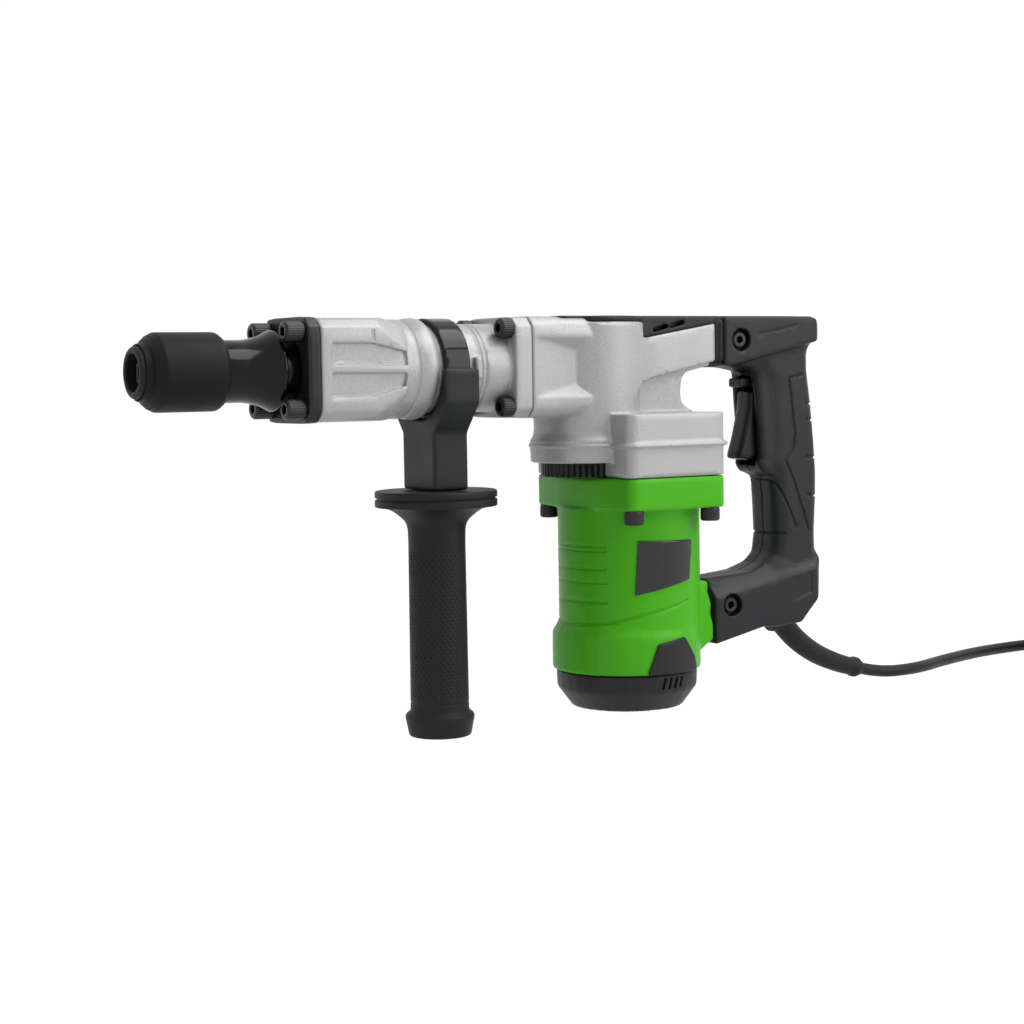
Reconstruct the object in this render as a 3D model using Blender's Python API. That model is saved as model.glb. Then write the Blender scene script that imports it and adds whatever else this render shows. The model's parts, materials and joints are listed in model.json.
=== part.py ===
"""An electric demolition hammer, upright on its motor cap, with its cord put away.

Metres, +Z up. The motor's axis is the Z axis and the end cap's flat bottom lies on Z = 0.
The barrel runs along X at the height BARREL_Z, and the chisel end points to -X.
"""

import math

import bmesh
import bpy
from mathutils import Vector

for old in list(bpy.data.objects):
    bpy.data.objects.remove(old, do_unlink=True)

# Clearances and facets
CLEAR = 0.0003          # gap between neighbouring pieces
MERGE = 1e-7            # points closer than this are one point
SIDES = 32              # facets round a large turned piece
FINE_SIDES = 16         # facets round a small turned piece
BOLT_SIDES = 8          # facets round a bolt
REACH = 0.002           # how far a cutter passes the wall that it cuts
SINK = 0.001            # how far joined shapes run into each other
SMOOTH_ANGLE = math.radians(32)

# Main lines
BARREL_Z = 0.2126       # height of the barrel's axis
JOINT_X = -0.086        # face between the barrel and the gear case

# Chisel end, from the barrel's front face forwards
HOUSING_LENGTH = 0.1385
FLANGE_THICK = 0.008
BOSS_LENGTH = 0.0085    # bare length between the flange and the bell's rim
BOSS_R = 0.019
BELL_LENGTH = 0.022     # from the bell's rim to the thinnest part of the neck
BELL_R = 0.023
BELL_RIM = 0.0022       # rounding of the bell's rim
NECK_R = 0.0176
NECK_LENGTH = 0.015     # from the thinnest part to the shoulder under the sleeve
NOSE_R = 0.0142
NOSE_LENGTH = 0.040
HEX_FLATS = 0.0174      # across the flats of the chisel bore
HEX_DEPTH = 0.056
DUST_CAP_THICK = 0.0065
DUST_CAP_R = 0.0145
DUST_CAP_BORE_R = 0.0106
DUST_CAP_EDGE = 0.001
SLEEVE_R = 0.022
SLEEVE_LENGTH = 0.0475
SLEEVE_LAP = 0.004      # how far the sleeve covers the neck
SLEEVE_FRONT_ROUND = 0.007
SLEEVE_REAR_CHAMFER = 0.0035
SLEEVE_TRAVEL = 0.008
SPRING_ROOM = 0.024     # length of the spring's pocket inside the sleeve
SPRING_WIRE_R = 0.0008
SPRING_TURNS = 6
SPRING_SIDE_GAP = 0.0004

# Barrel
SQUARE_HALF = 0.0295    # half side of the barrel's square front
SQUARE_LENGTH = 0.0445
SQUARE_CORNER = 0.009
TAPER_LENGTH = 0.016
WAIST_R = 0.027
WAIST_LENGTH = 0.0065
COLLAR_R = 0.0298
COLLAR_LENGTH = 0.007
TUBE_R = 0.0264
REAR_FLANGE_THICK = 0.012
REAR_FLANGE_HALF = 0.030
REAR_FLANGE_CORNER = 0.008
PAD_DEPTH = 0.0013      # recessed pads on the barrel's sides
PAD_MARGIN = 0.006
PAD_GAP = 0.0055        # bar between the two pads of a side
PAD_HALF = 0.0165       # from the bar's middle to a pad's outer edge
LINER_R = 0.022
LINER_BORE_R = 0.0173
LINER_FRONT_GAP = 0.003
LINER_REACH = 0.020     # how far the liner enters the gear case

# Socket-head bolts
BOLT_R = 0.0034
BOLT_HEAD_R = 0.006
BOLT_HEAD_LENGTH = 0.008
BOLT_SOCKET_R = 0.0032
BOLT_SOCKET_DEPTH = 0.005
FRONT_BOLT_OFFSET = 0.0215
FRONT_BOLT_LENGTH = 0.026
FRONT_HEAD_LENGTH = 0.0115
CASE_BOLT_OFFSET = 0.0232
CASE_BOLT_LENGTH = 0.030
MOTOR_BOLT_FRONT = 0.007    # from the motor box's front to its front bolts
MOTOR_BOLT_REAR = 0.0095    # from its rear to its rear bolts
MOTOR_BOLT_SIDE = 0.0065    # from its sides to its bolts
MOTOR_BOLT_LENGTH = 0.036

# Gears and crank
GEAR_MODULE = 0.00125
PINION_TEETH = 8
GEAR_TEETH = 36
PRESSURE_ANGLE = math.radians(25)
BACKLASH = 0.0002
PINION_ADDENDUM, PINION_DEDENDUM = 0.9, 1.0     # in modules
GEAR_ADDENDUM, GEAR_DEDENDUM = 0.7, 1.2
FLANK_STEPS = 2
GEAR_THICK = 0.010
CRANK_R = 0.011         # half the piston's stroke
CRANK_DISC_R = 0.019
CRANK_DISC_THICK = 0.006
CRANK_PIN_R = 0.006
CRANK_SHAFT_R = 0.008
CRANK_BEARING_R = 0.015
CRANK_BEARING_THICK = 0.012
ROD_LENGTH = 0.062
ROD_THICK = 0.010
ROD_BIG_R = 0.0095
ROD_SMALL_R = 0.007
ROD_WAIST = 0.0045      # half width of the rod's shank
PISTON_LENGTH = 0.025
PISTON_CROWN = 0.005
PISTON_PIN_R = 0.004
PISTON_PIN_BACK = 0.010     # from the pin to the piston's open end
STRIKER_LENGTH = 0.050
STRIKER_ROOM = 0.0465   # from the resting piston to the striker
IMPACT_STEM_R = 0.009
IMPACT_STEM_LENGTH = 0.023
IMPACT_COLLAR_R = 0.014
IMPACT_COLLAR_LENGTH = 0.010
IMPACT_TAIL_R = 0.010
IMPACT_TAIL_LENGTH = 0.017
IMPACT_TRAVEL = 0.006

# Gear case
TOP_HEIGHT = 0.0268     # from the barrel's axis to the flat under the top cover
COVER_THICK = 0.0036
FRONT_BLOCK_LENGTH = 0.018
CORE_HALF = 0.025       # half width of the block between its round bosses
BOSS_LUG_R = 0.0095
BOSS_LUG_LENGTH = 0.024
TOWER_R = 0.0343
TOWER_WALL = 0.0068
TOWER_ROOF = 0.0043
SKIRT_R = 0.0367        # round front of the gear case, over the motor
SKIRT_HEIGHT = 0.0135
SKIRT_GAP = 0.009       # dark gap under the skirt
GEAR_ROOM_R = 0.0255
GEAR_ROOM_WALL = 0.003
BOX_FRONT_X = -0.0345
BOX_REAR_X = 0.039
BOX_HALF = 0.054        # half width of the motor box and the motor's flange
BOX_HEIGHT = 0.0385
BOX_CORNER = 0.007
BEAD_HEIGHT = 0.0195    # of the bead round the box, over its foot
BEAD_R = 0.0014
ARM_REAR_X = 0.0525
ARM_HALF = 0.024
ARM_REAR_DEPTH = 0.0275     # height of the arm's rear face
ARM_FRONT_DROP = 0.0175     # of the arm's lower edge at the tower, under the barrel's axis
WEB_REAR_X = 0.030
WEB_HALF = 0.018
COVER_HALF = 0.0235
COVER_FRONT_X = -0.063
WEDGE_FRONT_X = -0.006
WEDGE_DEPTH = 0.0105    # of the cover's wedge at its front
WEDGE_REAR_DEPTH = 0.001
SLOT_LENGTH = 0.012
SLOT_HEIGHT = 0.004
SLOT_CORNER = 0.0016
SLOT_DEPTH = 0.003
SLOT_X = 0.017          # from the wedge's front to the first slot
SLOT_DROP = 0.00651     # of the first slot under the cover's top
SLOT_PITCH = 0.01625
SLOT_STEP = 0.002625    # rise from slot to slot

# Motor
FLANGE_FOOT_Z = 0.1251  # underside of the motor's flange
MOTOR_FLANGE_THICK = 0.0197
FLANGE_BULGE = 0.006    # how far the flange's front bows out
MOTOR_R = 0.0446
MOTOR_WALL = 0.005
CASING_SHIFT = 0.0012   # of the casing's outside from the motor's axis, along X
CAP_SHIFT = -0.0015     # of the flare and the cap
FLARE_R = 0.0468        # lower, wider part of the casing
FLARE_TOP_Z = 0.0466
FLARE_SLOPE = 0.009
CAP_TOP_Z = 0.0234
CAP_FOOT_R = 0.0347
CAP_EDGE_R = 0.0440
CAP_EDGE_Z = 0.0125
CAP_R = 0.0445
CAP_FLOOR = 0.005
CAP_WALL = 0.005
CUP_WALL = 0.0035       # of the lower bearing's cup
CUP_STEP = 0.002        # by which the lower bearing is smaller
CUP_RISE = 0.0075       # of the lower bearing over the cap's floor
SHAFT_R = 0.005
BEARING_R = 0.013
BEARING_THICK = 0.009
CORE_R = 0.021
CORE_LOW_Z, CORE_HIGH_Z = 0.0566, 0.1086
AIR_GAP = 0.001
COMMUTATOR_R = 0.012
COMMUTATOR_LOW_Z, COMMUTATOR_HIGH_Z = 0.0326, 0.0526
FAN_R = 0.035
FAN_HUB_R = 0.010
FAN_BLADES = 10
FAN_BLADE_ANGLE = math.radians(12)
FAN_HEIGHT = 0.010
ROCKER_LOW_Z = 0.0271
ROCKER_THICK = 0.004
BRUSH_WIDE, BRUSH_HIGH = 0.007, 0.009
BRUSH_LENGTH = 0.018
BRUSH_BOX_WALL = 0.0025
BRUSH_BOX_LENGTH = 0.018
LUG_REAR_X = 0.053      # rear face of the lug that carries the D-handle's foot
LUG_LOW_Z, LUG_HIGH_Z = 0.0371, 0.0751
LUG_HALF = 0.0185

# D-handle. Outlines are (x, z) steps from the corners that their names give
HANDLE_LENGTH = 0.082       # from the handle's front to its back
GRIP_FRONT = 0.0455         # from the handle's front to the grip's
TOP_CORNER_R = 0.0085
TOP_CORNER_BACK = 0.0113    # from the handle's back to the middle of its top corner
GRIP_BACK = [               # from the handle's back and the tool's top
    (-0.0034, -0.0165), (-0.0074, -0.0240), (-0.0073, -0.0350), (-0.0042, -0.0560), (-0.0017, -0.0800),
    (-0.0002, -0.1010), (-0.0004, -0.1180), (-0.0016, -0.1400), (-0.0014, -0.1600),
]
HANDLE_FOOT = [             # from the handle's back and the underside of the motor's lug
    (-0.0044, 0.0225), (-0.0135, 0.0135), (-0.0200, 0.0065), (-0.0430, 0.0050), (-0.0510, 0.0060),
]
FOOT_DROP = 0.0025          # of the foot's front corner under the lug
FOOT_RISE = 0.0010          # of its upper corner over the lug
GRIP_HEEL = [               # from the grip's front and the underside of the motor's lug
    (-0.0200, 0.0415), (-0.0080, 0.0460), (-0.0005, 0.0530),
]
GRIP_INSIDE = [             # from the grip's front and the tool's top
    (0.0012, -0.1420), (0.0000, -0.1170), (-0.0010, -0.1045), (-0.0035, -0.0980), (-0.0060, -0.0915),
    (-0.0045, -0.0860), (-0.0060, -0.0440), (-0.0120, -0.0360),
]
TOP_BAR_INSIDE = (0.0150, -0.0325)  # from the handle's front and the tool's top
TOP_BAR_DEPTH = 0.0315      # of the handle's front face
GRIP_TOP_DROP = 0.040       # where the grip is slim, under the tool's top
GRIP_LOW_RISE = 0.018       # and over the lug's top
GRIP_BLEND = 0.030          # length in which the grip widens to its ends
BELLOWS_LENGTH = 0.0095
BELLOWS_RIBS = 3
BELLOWS_GROOVE = 0.0016
BELLOWS_HALF = 0.0215
GRIP_HALF = 0.0172      # half width of the grip
ENDS_HALF = 0.0215      # half width of the handle's top and foot
HANDLE_WALL = 0.003
HANDLE_EDGE = 0.0075    # rounding of the handle's long edges
EDGE_STEPS = 3
HANDLE_SOLID_END = 0.024    # solid length at the handle's top and foot, round the screws
SCREW_X = 0.0135        # from the handle's front to its screws
SCREW_R = 0.003
SCREW_HEAD_R = 0.0052
SCREW_HEAD_LENGTH = 0.004
SCREW_SOCKET_R = 0.00224
SCREW_SOCKET_DEPTH = 0.0025
SCREW_RECESS = 0.006
UPPER_SCREW_DROP = 0.015    # under the tool's top
LOWER_SCREW_RISE = 0.022    # over the foot's lower front corner
TRIGGER_BACK = 0.0450       # from the handle's front to the trigger's pin
TRIGGER_DROP = 0.0505       # from the tool's top to the trigger's pin
TRIGGER_LEVER = [           # (x, z) steps from the pin, down the front and up the back
    (-0.0143, 0.0025), (-0.0150, -0.0085), (-0.0194, -0.0260), (-0.0234, -0.0383),
    (-0.0234, -0.0410), (-0.0150, -0.0423), (-0.0065, -0.0405), (-0.0015, -0.0090),
]
TRIGGER_ROOM = 0.0485       # depth of the trigger's room under its pin
TRIGGER_ROOM_FRONT = 0.038  # from the pin to the front of its room
SWITCH_BACK = 0.0075        # from the pin to the switch
SWITCH_DROP = 0.0415        # of the switch's foot under the pin
TRIGGER_HALF = 0.008
TRIGGER_EDGE = 0.003     # rounding of the trigger's long edges
TRIGGER_PIN_R = 0.002
TRIGGER_HUB_R = 0.0045
TRIGGER_SWING = math.radians(9)
LOCK_HALF = 0.006
LOCK_EDGE = 0.0012
LOCK_HEIGHT = 0.006
LOCK_LENGTH = 0.018
LOCK_FRONT = 0.0235     # from the handle's front to the lock button's
LOCK_TRAVEL = 0.003
SWITCH_DEPTH = 0.0175
SWITCH_HEIGHT = 0.036

# Side handle
SIDE_OFFSET = 0.0135    # from the barrel's collar to the side grip's axis
BAND_WIDE = 0.017
BAND_THICK = 0.003
YOKE_WIDE = 0.023
YOKE_CHEEK = 0.0045     # thickness of the yoke's cheeks outside the band
YOKE_FOOT_HALF = 0.0193
YOKE_SHOULDER_DROP = 0.020  # from the barrel's axis to where the cheeks turn in
YOKE_WAIST_DROP = 0.038     # from the barrel's axis to the foot's top
YOKE_LENGTH = 0.0714    # from the barrel's axis to the yoke's foot
CLAMP_ROD_R = 0.004
CLAMP_ROD_BOTTOM_Z = 0.036
DISC_R = 0.0364
DISC_THICK = 0.0096
DISC_GROOVE = 0.0013
GRIP_NECK_R = 0.0165
FLARE_TOP_R = 0.03203
GRIP_FLARE = 0.017      # length of the hollow flare under the disc
SIDE_GRIP_R = 0.0174
KNOB_R = 0.0210
KNOB_HEIGHT = 0.0135
KNOB_FOOT_Z = -0.0056   # the side grip hangs a little below the motor cap
KNOB_FOOT_R = 0.0185

# Cord
CORD_R = 0.004
GUARD_START_R = 0.0080
GUARD_END_R = 0.0059
GUARD_SIDES = 10
GUARD_ROUTE = [         # (x, z) of the cord boot's middle line, from inside the handle's foot
    (0.1130, 0.0546), (0.1190, 0.0471), (0.1244, 0.0404), (0.1325, 0.0321), (0.1415, 0.0250),
    (0.1515, 0.0188), (0.1624, 0.0138), (0.1750, 0.0092), (0.1880, 0.0058),
]
FLOOR_Z = -0.0034       # the plane that the cord lies on
FLOOR_GAP = 0.0002      # under the cord's lowest facet
CORD_ROUTE = [          # (x, y, height over the lying cord's middle line)
    (0.1977, -0.0006, 0.0026), (0.2080, -0.0016, 0.0009), (0.2180, -0.0024, 0.0001),
    (0.2280, -0.0026, 0.0000), (0.2380, -0.0014, 0.0000), (0.2480, 0.0012, 0.0000),
    (0.2600, 0.0056, 0.0000), (0.2740, 0.0114, 0.0000), (0.2900, 0.0172, 0.0000),
    (0.3080, 0.0234, 0.0000), (0.3280, 0.0290, 0.0000), (0.3500, 0.0330, 0.0000),
    (0.3740, 0.0344, 0.0002), (0.3980, 0.0318, 0.0006),
]
CORD_STEP = 0.017       # between the points of the free cord
COIL_X, COIL_Y = 0.4140, -0.0360
COIL_R = 0.0628         # outermost turn
COIL_PITCH = 0.0086     # from turn to turn, and from layer to layer
COIL_TURNS = 7
COIL_POINTS = 24        # in each turn
COIL_CLIMB = 0.5        # turns in which the cord climbs to its second layer
COIL_START = math.radians(78.5)
COIL_LEAD = 0.009       # straight cord before the coil
COIL_TAIL = 0.042       # straight cord from the coil to the plug
TIE_THICK = 0.0008
TIE_WIDE = 0.010
TIE_TURN = 0.25         # part of a turn from the coil's start to the tie
TIE_GAP = 0.0012
PLUG_LENGTH = 0.036
PLUG_HALF = 0.0165
PLUG_NECK = 0.0065
PLUG_PIN_R = 0.0024
PLUG_PIN_LENGTH = 0.019
PLUG_PIN_HALF_SPACING = 0.0095

# Places that follow from the sizes
HOUSING_X = JOINT_X - HOUSING_LENGTH
FLANGE_X = HOUSING_X - FLANGE_THICK
BELL_X = FLANGE_X - BOSS_LENGTH
NECK_X = BELL_X - BELL_LENGTH
SHOULDER_X = NECK_X - NECK_LENGTH
NOSE_X = SHOULDER_X - NOSE_LENGTH
SLEEVE_REAR_X = SHOULDER_X + SLEEVE_LAP
SLEEVE_X = SLEEVE_REAR_X - SLEEVE_LENGTH
SLEEVE_POCKET_R = NECK_R + 0.0008
SLEEVE_BORE_R = DUST_CAP_R + CLEAR
REAR_FLANGE_X = JOINT_X - REAR_FLANGE_THICK
TAPER_X = HOUSING_X + SQUARE_LENGTH + TAPER_LENGTH
COLLAR_X = TAPER_X + WAIST_LENGTH
TUBE_X = COLLAR_X + COLLAR_LENGTH
SIDE_X = TUBE_X + SIDE_OFFSET
TOP_Z = BARREL_Z + TOP_HEIGHT
COVER_TOP_Z = TOP_Z + CLEAR + COVER_THICK
CRANK_X = -GEAR_MODULE * (PINION_TEETH + GEAR_TEETH) / 2
BOX_FOOT_Z = FLANGE_FOOT_Z + MOTOR_FLANGE_THICK + CLEAR
BOX_TOP_Z = BOX_FOOT_Z + BOX_HEIGHT
ROD_LOW_Z = BARREL_Z - ROD_THICK / 2
CRANK_PIN_TOP_Z = ROD_LOW_Z - CLEAR
CRANK_DISC_Z = BARREL_Z - 0.018
CRANK_BEARING_Z = CRANK_DISC_Z - CLEAR - CRANK_BEARING_THICK - 0.003
GEAR_Z = BOX_FOOT_Z + 0.0155
CHAMBER_R = TOWER_R - TOWER_WALL
CRANK_PIN_X = CRANK_X + CRANK_R
PISTON_PIN_X = CRANK_PIN_X - ROD_LENGTH
PISTON_REAR_X = PISTON_PIN_X + PISTON_PIN_BACK
PISTON_X = PISTON_REAR_X - PISTON_LENGTH
STRIKER_REAR_X = PISTON_X - STRIKER_ROOM
STRIKER_X = STRIKER_REAR_X - STRIKER_LENGTH
LINER_X = HOUSING_X + LINER_FRONT_GAP
LINER_REAR_X = JOINT_X + LINER_REACH
HEX_END_X = NOSE_X + HEX_DEPTH
IMPACT_X = HEX_END_X + IMPACT_TRAVEL + 0.001
IMPACT_COLLAR_X = IMPACT_X + IMPACT_STEM_LENGTH
IMPACT_COUNTERBORE_X = IMPACT_COLLAR_X - IMPACT_TRAVEL - 0.0005
HANDLE_X = ARM_REAR_X + BELLOWS_LENGTH
SWITCH_HALF = GRIP_HALF - HANDLE_WALL - CLEAR
FOOT_X = LUG_REAR_X + CLEAR
BAND_R = TUBE_R + CLEAR
BAND_OUTER_R = BAND_R + BAND_THICK
YOKE_FOOT_Z = BARREL_Z - YOKE_LENGTH
DISC_TOP_Z = YOKE_FOOT_Z - CLEAR
LYING_Z = FLOOR_Z + CORD_R + FLOOR_GAP
COIL_Z = FLOOR_Z + CORD_R + TIE_THICK + CLEAR
PLUG_Z = COIL_Z + COIL_PITCH


# Outlines
def arc(centre, radius, start, end, count):
    """Points along an arc, both ends included, with angles in degrees."""
    points = []
    for i in range(count + 1):
        angle = math.radians(start + (end - start) * i / count)
        points.append((centre[0] + radius * math.cos(angle), centre[1] + radius * math.sin(angle)))
    return points


def circle(centre, radius, sides):
    return arc(centre, radius, 0, 360, sides)[:-1]


def rounded_rectangle(low, high, radius, steps=4):
    left, right = low[0] + radius, high[0] - radius
    under, over = low[1] + radius, high[1] - radius
    points = []
    for number, middle in enumerate(((right, over), (left, over), (left, under), (right, under))):
        points += arc(middle, radius, number * 90, number * 90 + 90, steps)
    return points


def soft_square(half, corner, centre, sides):
    """A square with round corners, as points at equal angles; a circle where corner equals half."""
    points = []
    flat = half - corner
    for i in range(sides):
        angle = 2 * math.pi * (i + 0.5) / sides
        c, s = abs(math.cos(angle)), abs(math.sin(angle))
        reach = half / max(c, s)
        if min(c, s) * reach > flat:
            middle = flat * (c + s)
            reach = middle + math.sqrt(max(corner ** 2 - (2 * flat ** 2 - middle ** 2), 0))
        points.append((centre[0] + reach * math.cos(angle), centre[1] + reach * math.sin(angle)))
    return points


def inset(outline, distance):
    """A closed outline moved inwards by a distance, corner by corner. It runs clockwise."""
    moved = []
    count = len(outline)
    for i, (x, y) in enumerate(outline):
        before, after = outline[i - 1], outline[(i + 1) % count]
        first = Vector((x - before[0], y - before[1])).normalized()
        second = Vector((after[0] - x, after[1] - y)).normalized()
        normal = Vector((first.y + second.y, -first.x - second.x)).normalized()
        stretch = max(normal.dot(Vector((first.y, -first.x))), 0.5)
        moved.append((x + normal.x * distance / stretch, y + normal.y * distance / stretch))
    return moved


def tooth_outline(centre, teeth, addendum, dedendum, phase):
    """A spur gear's outline with involute flanks. A tooth points along the angle phase."""
    pitch_r = teeth * GEAR_MODULE / 2
    base_r = pitch_r * math.cos(PRESSURE_ANGLE)
    tip_r = pitch_r + addendum * GEAR_MODULE
    root_r = pitch_r - dedendum * GEAR_MODULE
    low_r = max(base_r, root_r)
    half = math.pi / (2 * teeth) - BACKLASH / (2 * pitch_r)

    def half_angle(radius):
        angle = math.acos(min(1, base_r / radius))
        return half + math.tan(PRESSURE_ANGLE) - PRESSURE_ANGLE - math.tan(angle) + angle

    flank = [(root_r, half_angle(low_r))]
    for i in range(FLANK_STEPS):
        radius = low_r + (tip_r - low_r) * i / (FLANK_STEPS - 1)
        flank.append((radius, half_angle(radius)))
    points = []
    for tooth in range(teeth):
        middle = phase + 2 * math.pi * tooth / teeth
        turns = [(r, middle - a) for r, a in flank] + [(r, middle + a) for r, a in reversed(flank)]
        points += [(centre[0] + r * math.cos(a), centre[1] + r * math.sin(a)) for r, a in turns]
    return points


# Closed shapes, each a list of points and a list of faces
def place(axis, across, along):
    u, v = across
    return {"X": (along, u, v), "Y": (u, along, v), "Z": (u, v, along)}[axis]


def lofted(rings):
    """A skin over rings with equal counts of points, with a flat face on each end."""
    count = len(rings[0])
    points = [point for ring in rings for point in ring]
    faces = [tuple(range(count)), tuple(range(len(points) - count, len(points)))]
    for level in range(len(rings) - 1):
        base = level * count
        for i in range(count):
            j = (i + 1) % count
            faces.append((base + i, base + j, base + count + j, base + count + i))
    return points, faces


def extruded(outline, axis, low, high):
    return lofted([[place(axis, point, along) for point in outline] for along in (low, high)])


def box(low, high):
    outline = [(low[0], low[1]), (high[0], low[1]), (high[0], high[1]), (low[0], high[1])]
    return extruded(outline, "Z", low[2], high[2])


def rod(axis, centre, radius, low, high, sides=BOLT_SIDES):
    return extruded(circle(centre, radius, sides), axis, low, high)


def turned(profile, axis, centre, sides=SIDES):
    """A closed profile of (radius, along) points, turned about an axis."""
    count = len(profile)
    points, faces = [], []
    for k in range(sides):
        angle = 2 * math.pi * k / sides
        for radius, along in profile:
            across = (centre[0] + radius * math.cos(angle), centre[1] + radius * math.sin(angle))
            points.append(place(axis, across, along))
    for k in range(sides):
        a, b = k * count, (k + 1) % sides * count
        for i in range(count):
            j = (i + 1) % count
            faces.append((a + i, a + j, b + j, b + i))
    return points, faces


def swept(path, radii, sides):
    """A round tube of changing radius along a path."""
    path = [Vector(point) for point in path]
    side = None
    rings = []
    for i, point in enumerate(path):
        ahead = (path[min(i + 1, len(path) - 1)] - path[max(i - 1, 0)]).normalized()
        side = side if side else ahead.cross(Vector((0, 1, 0)))
        side = (side - ahead * side.dot(ahead)).normalized()
        other = ahead.cross(side)
        angles = [2 * math.pi * k / sides for k in range(sides)]
        rings.append([point + (side * math.cos(a) + other * math.sin(a)) * radii[i] for a in angles])
    return lofted(rings)


def joined(shapes):
    """Shapes that don't touch, as one."""
    points, faces = [], []
    for more_points, more_faces in shapes:
        faces += [tuple(len(points) + i for i in face) for face in more_faces]
        points += more_points
    return points, faces


# Objects
def make_mesh(name, shape, origin):
    points, faces = shape
    mesh = bpy.data.meshes.new(name)
    mesh.from_pydata([Vector(point) - origin for point in points], [], faces)
    work = bmesh.new()
    work.from_mesh(mesh)
    bmesh.ops.remove_doubles(work, verts=work.verts, dist=MERGE)
    bmesh.ops.recalc_face_normals(work, faces=work.faces)
    work.to_mesh(mesh)
    work.free()
    return mesh


def add_boolean(obj, operation, name, shape):
    helper = bpy.data.objects.new(name, make_mesh(name, shape, Vector()))
    helper.hide_render = True
    helper.display_type = "WIRE"
    bpy.context.scene.collection.objects.link(helper)
    modifier = obj.modifiers.new(operation.title(), "BOOLEAN")
    modifier.operation = operation
    modifier.solver = "EXACT"
    modifier.object = helper


def piece(name, shape, look, origin=(0, 0, 0), add=(), cut=()):
    """One sub-part: a shape, with others joined to it and then others cut from it."""
    obj = bpy.data.objects.new(name, make_mesh(name, shape, Vector(origin)))
    obj.location = origin
    bpy.context.scene.collection.objects.link(obj)
    obj.data.materials.append(look)
    for number, more in enumerate(add):
        add_boolean(obj, "UNION", f"{name}_join_{number}", more)
    for number, less in enumerate(cut):
        add_boolean(obj, "DIFFERENCE", f"{name}_cut_{number}", less)
    obj.data.shade_smooth()
    obj.data.set_sharp_from_angle(angle=SMOOTH_ANGLE)
    return obj


def material(name, colour, roughness, metallic=0.0):
    look = bpy.data.materials.new(name)
    look.use_nodes = True
    shader = look.node_tree.nodes["Principled BSDF"]
    shader.inputs["Base Color"].default_value = (*colour, 1)
    shader.inputs["Roughness"].default_value = roughness
    shader.inputs["Metallic"].default_value = metallic
    return look


BLACK_PLASTIC = material("black_plastic", (0.018, 0.018, 0.019), 0.5)
BLACK_RUBBER = material("black_rubber", (0.014, 0.014, 0.015), 0.75)
BLACK_STEEL = material("black_steel", (0.012, 0.012, 0.013), 0.3, 0.8)
CAST_SILVER = material("cast_silver", (0.55, 0.56, 0.57), 0.42, 0.75)
GREEN_PLASTIC = material("green_plastic", (0.08, 0.50, 0.02), 0.35)
BRIGHT_STEEL = material("bright_steel", (0.60, 0.60, 0.61), 0.25, 1.0)
COPPER = material("copper", (0.72, 0.38, 0.24), 0.35, 1.0)
BRASS = material("brass", (0.70, 0.55, 0.28), 0.35, 1.0)
CARBON = material("carbon", (0.03, 0.03, 0.03), 0.6)

FOUR_CORNERS = [(-1, 1), (1, 1), (-1, -1), (1, -1)]
BARREL = (0, BARREL_Z)          # the barrel's axis, across X
MOTOR = (0, 0)                  # the motor's axis, across Z
CRANK = (CRANK_X, 0)            # the crank's axis, across Z


def bolt(name, axis, centre, seat, direction, length, head=BOLT_HEAD_LENGTH):
    """A socket-head bolt whose head sits on seat and whose shank runs along direction."""
    head_end = seat - direction * (head + CLEAR)
    head_start = seat - direction * CLEAR
    socket_end = head_end + direction * BOLT_SOCKET_DEPTH
    tip = seat + direction * length
    profile = [
        (0, socket_end), (BOLT_SOCKET_R, socket_end), (BOLT_SOCKET_R, head_end), (BOLT_HEAD_R, head_end),
        (BOLT_HEAD_R, head_start), (BOLT_R, head_start), (BOLT_R, tip), (0, tip),
    ]
    return piece(name, turned(profile, axis, centre, BOLT_SIDES), BLACK_STEEL)


def bolt_hole(axis, centre, low, high):
    return rod(axis, centre, BOLT_R + CLEAR, low, high)


def hexagon(flats):
    return circle(BARREL, flats / math.sqrt(3), 6)


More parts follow.
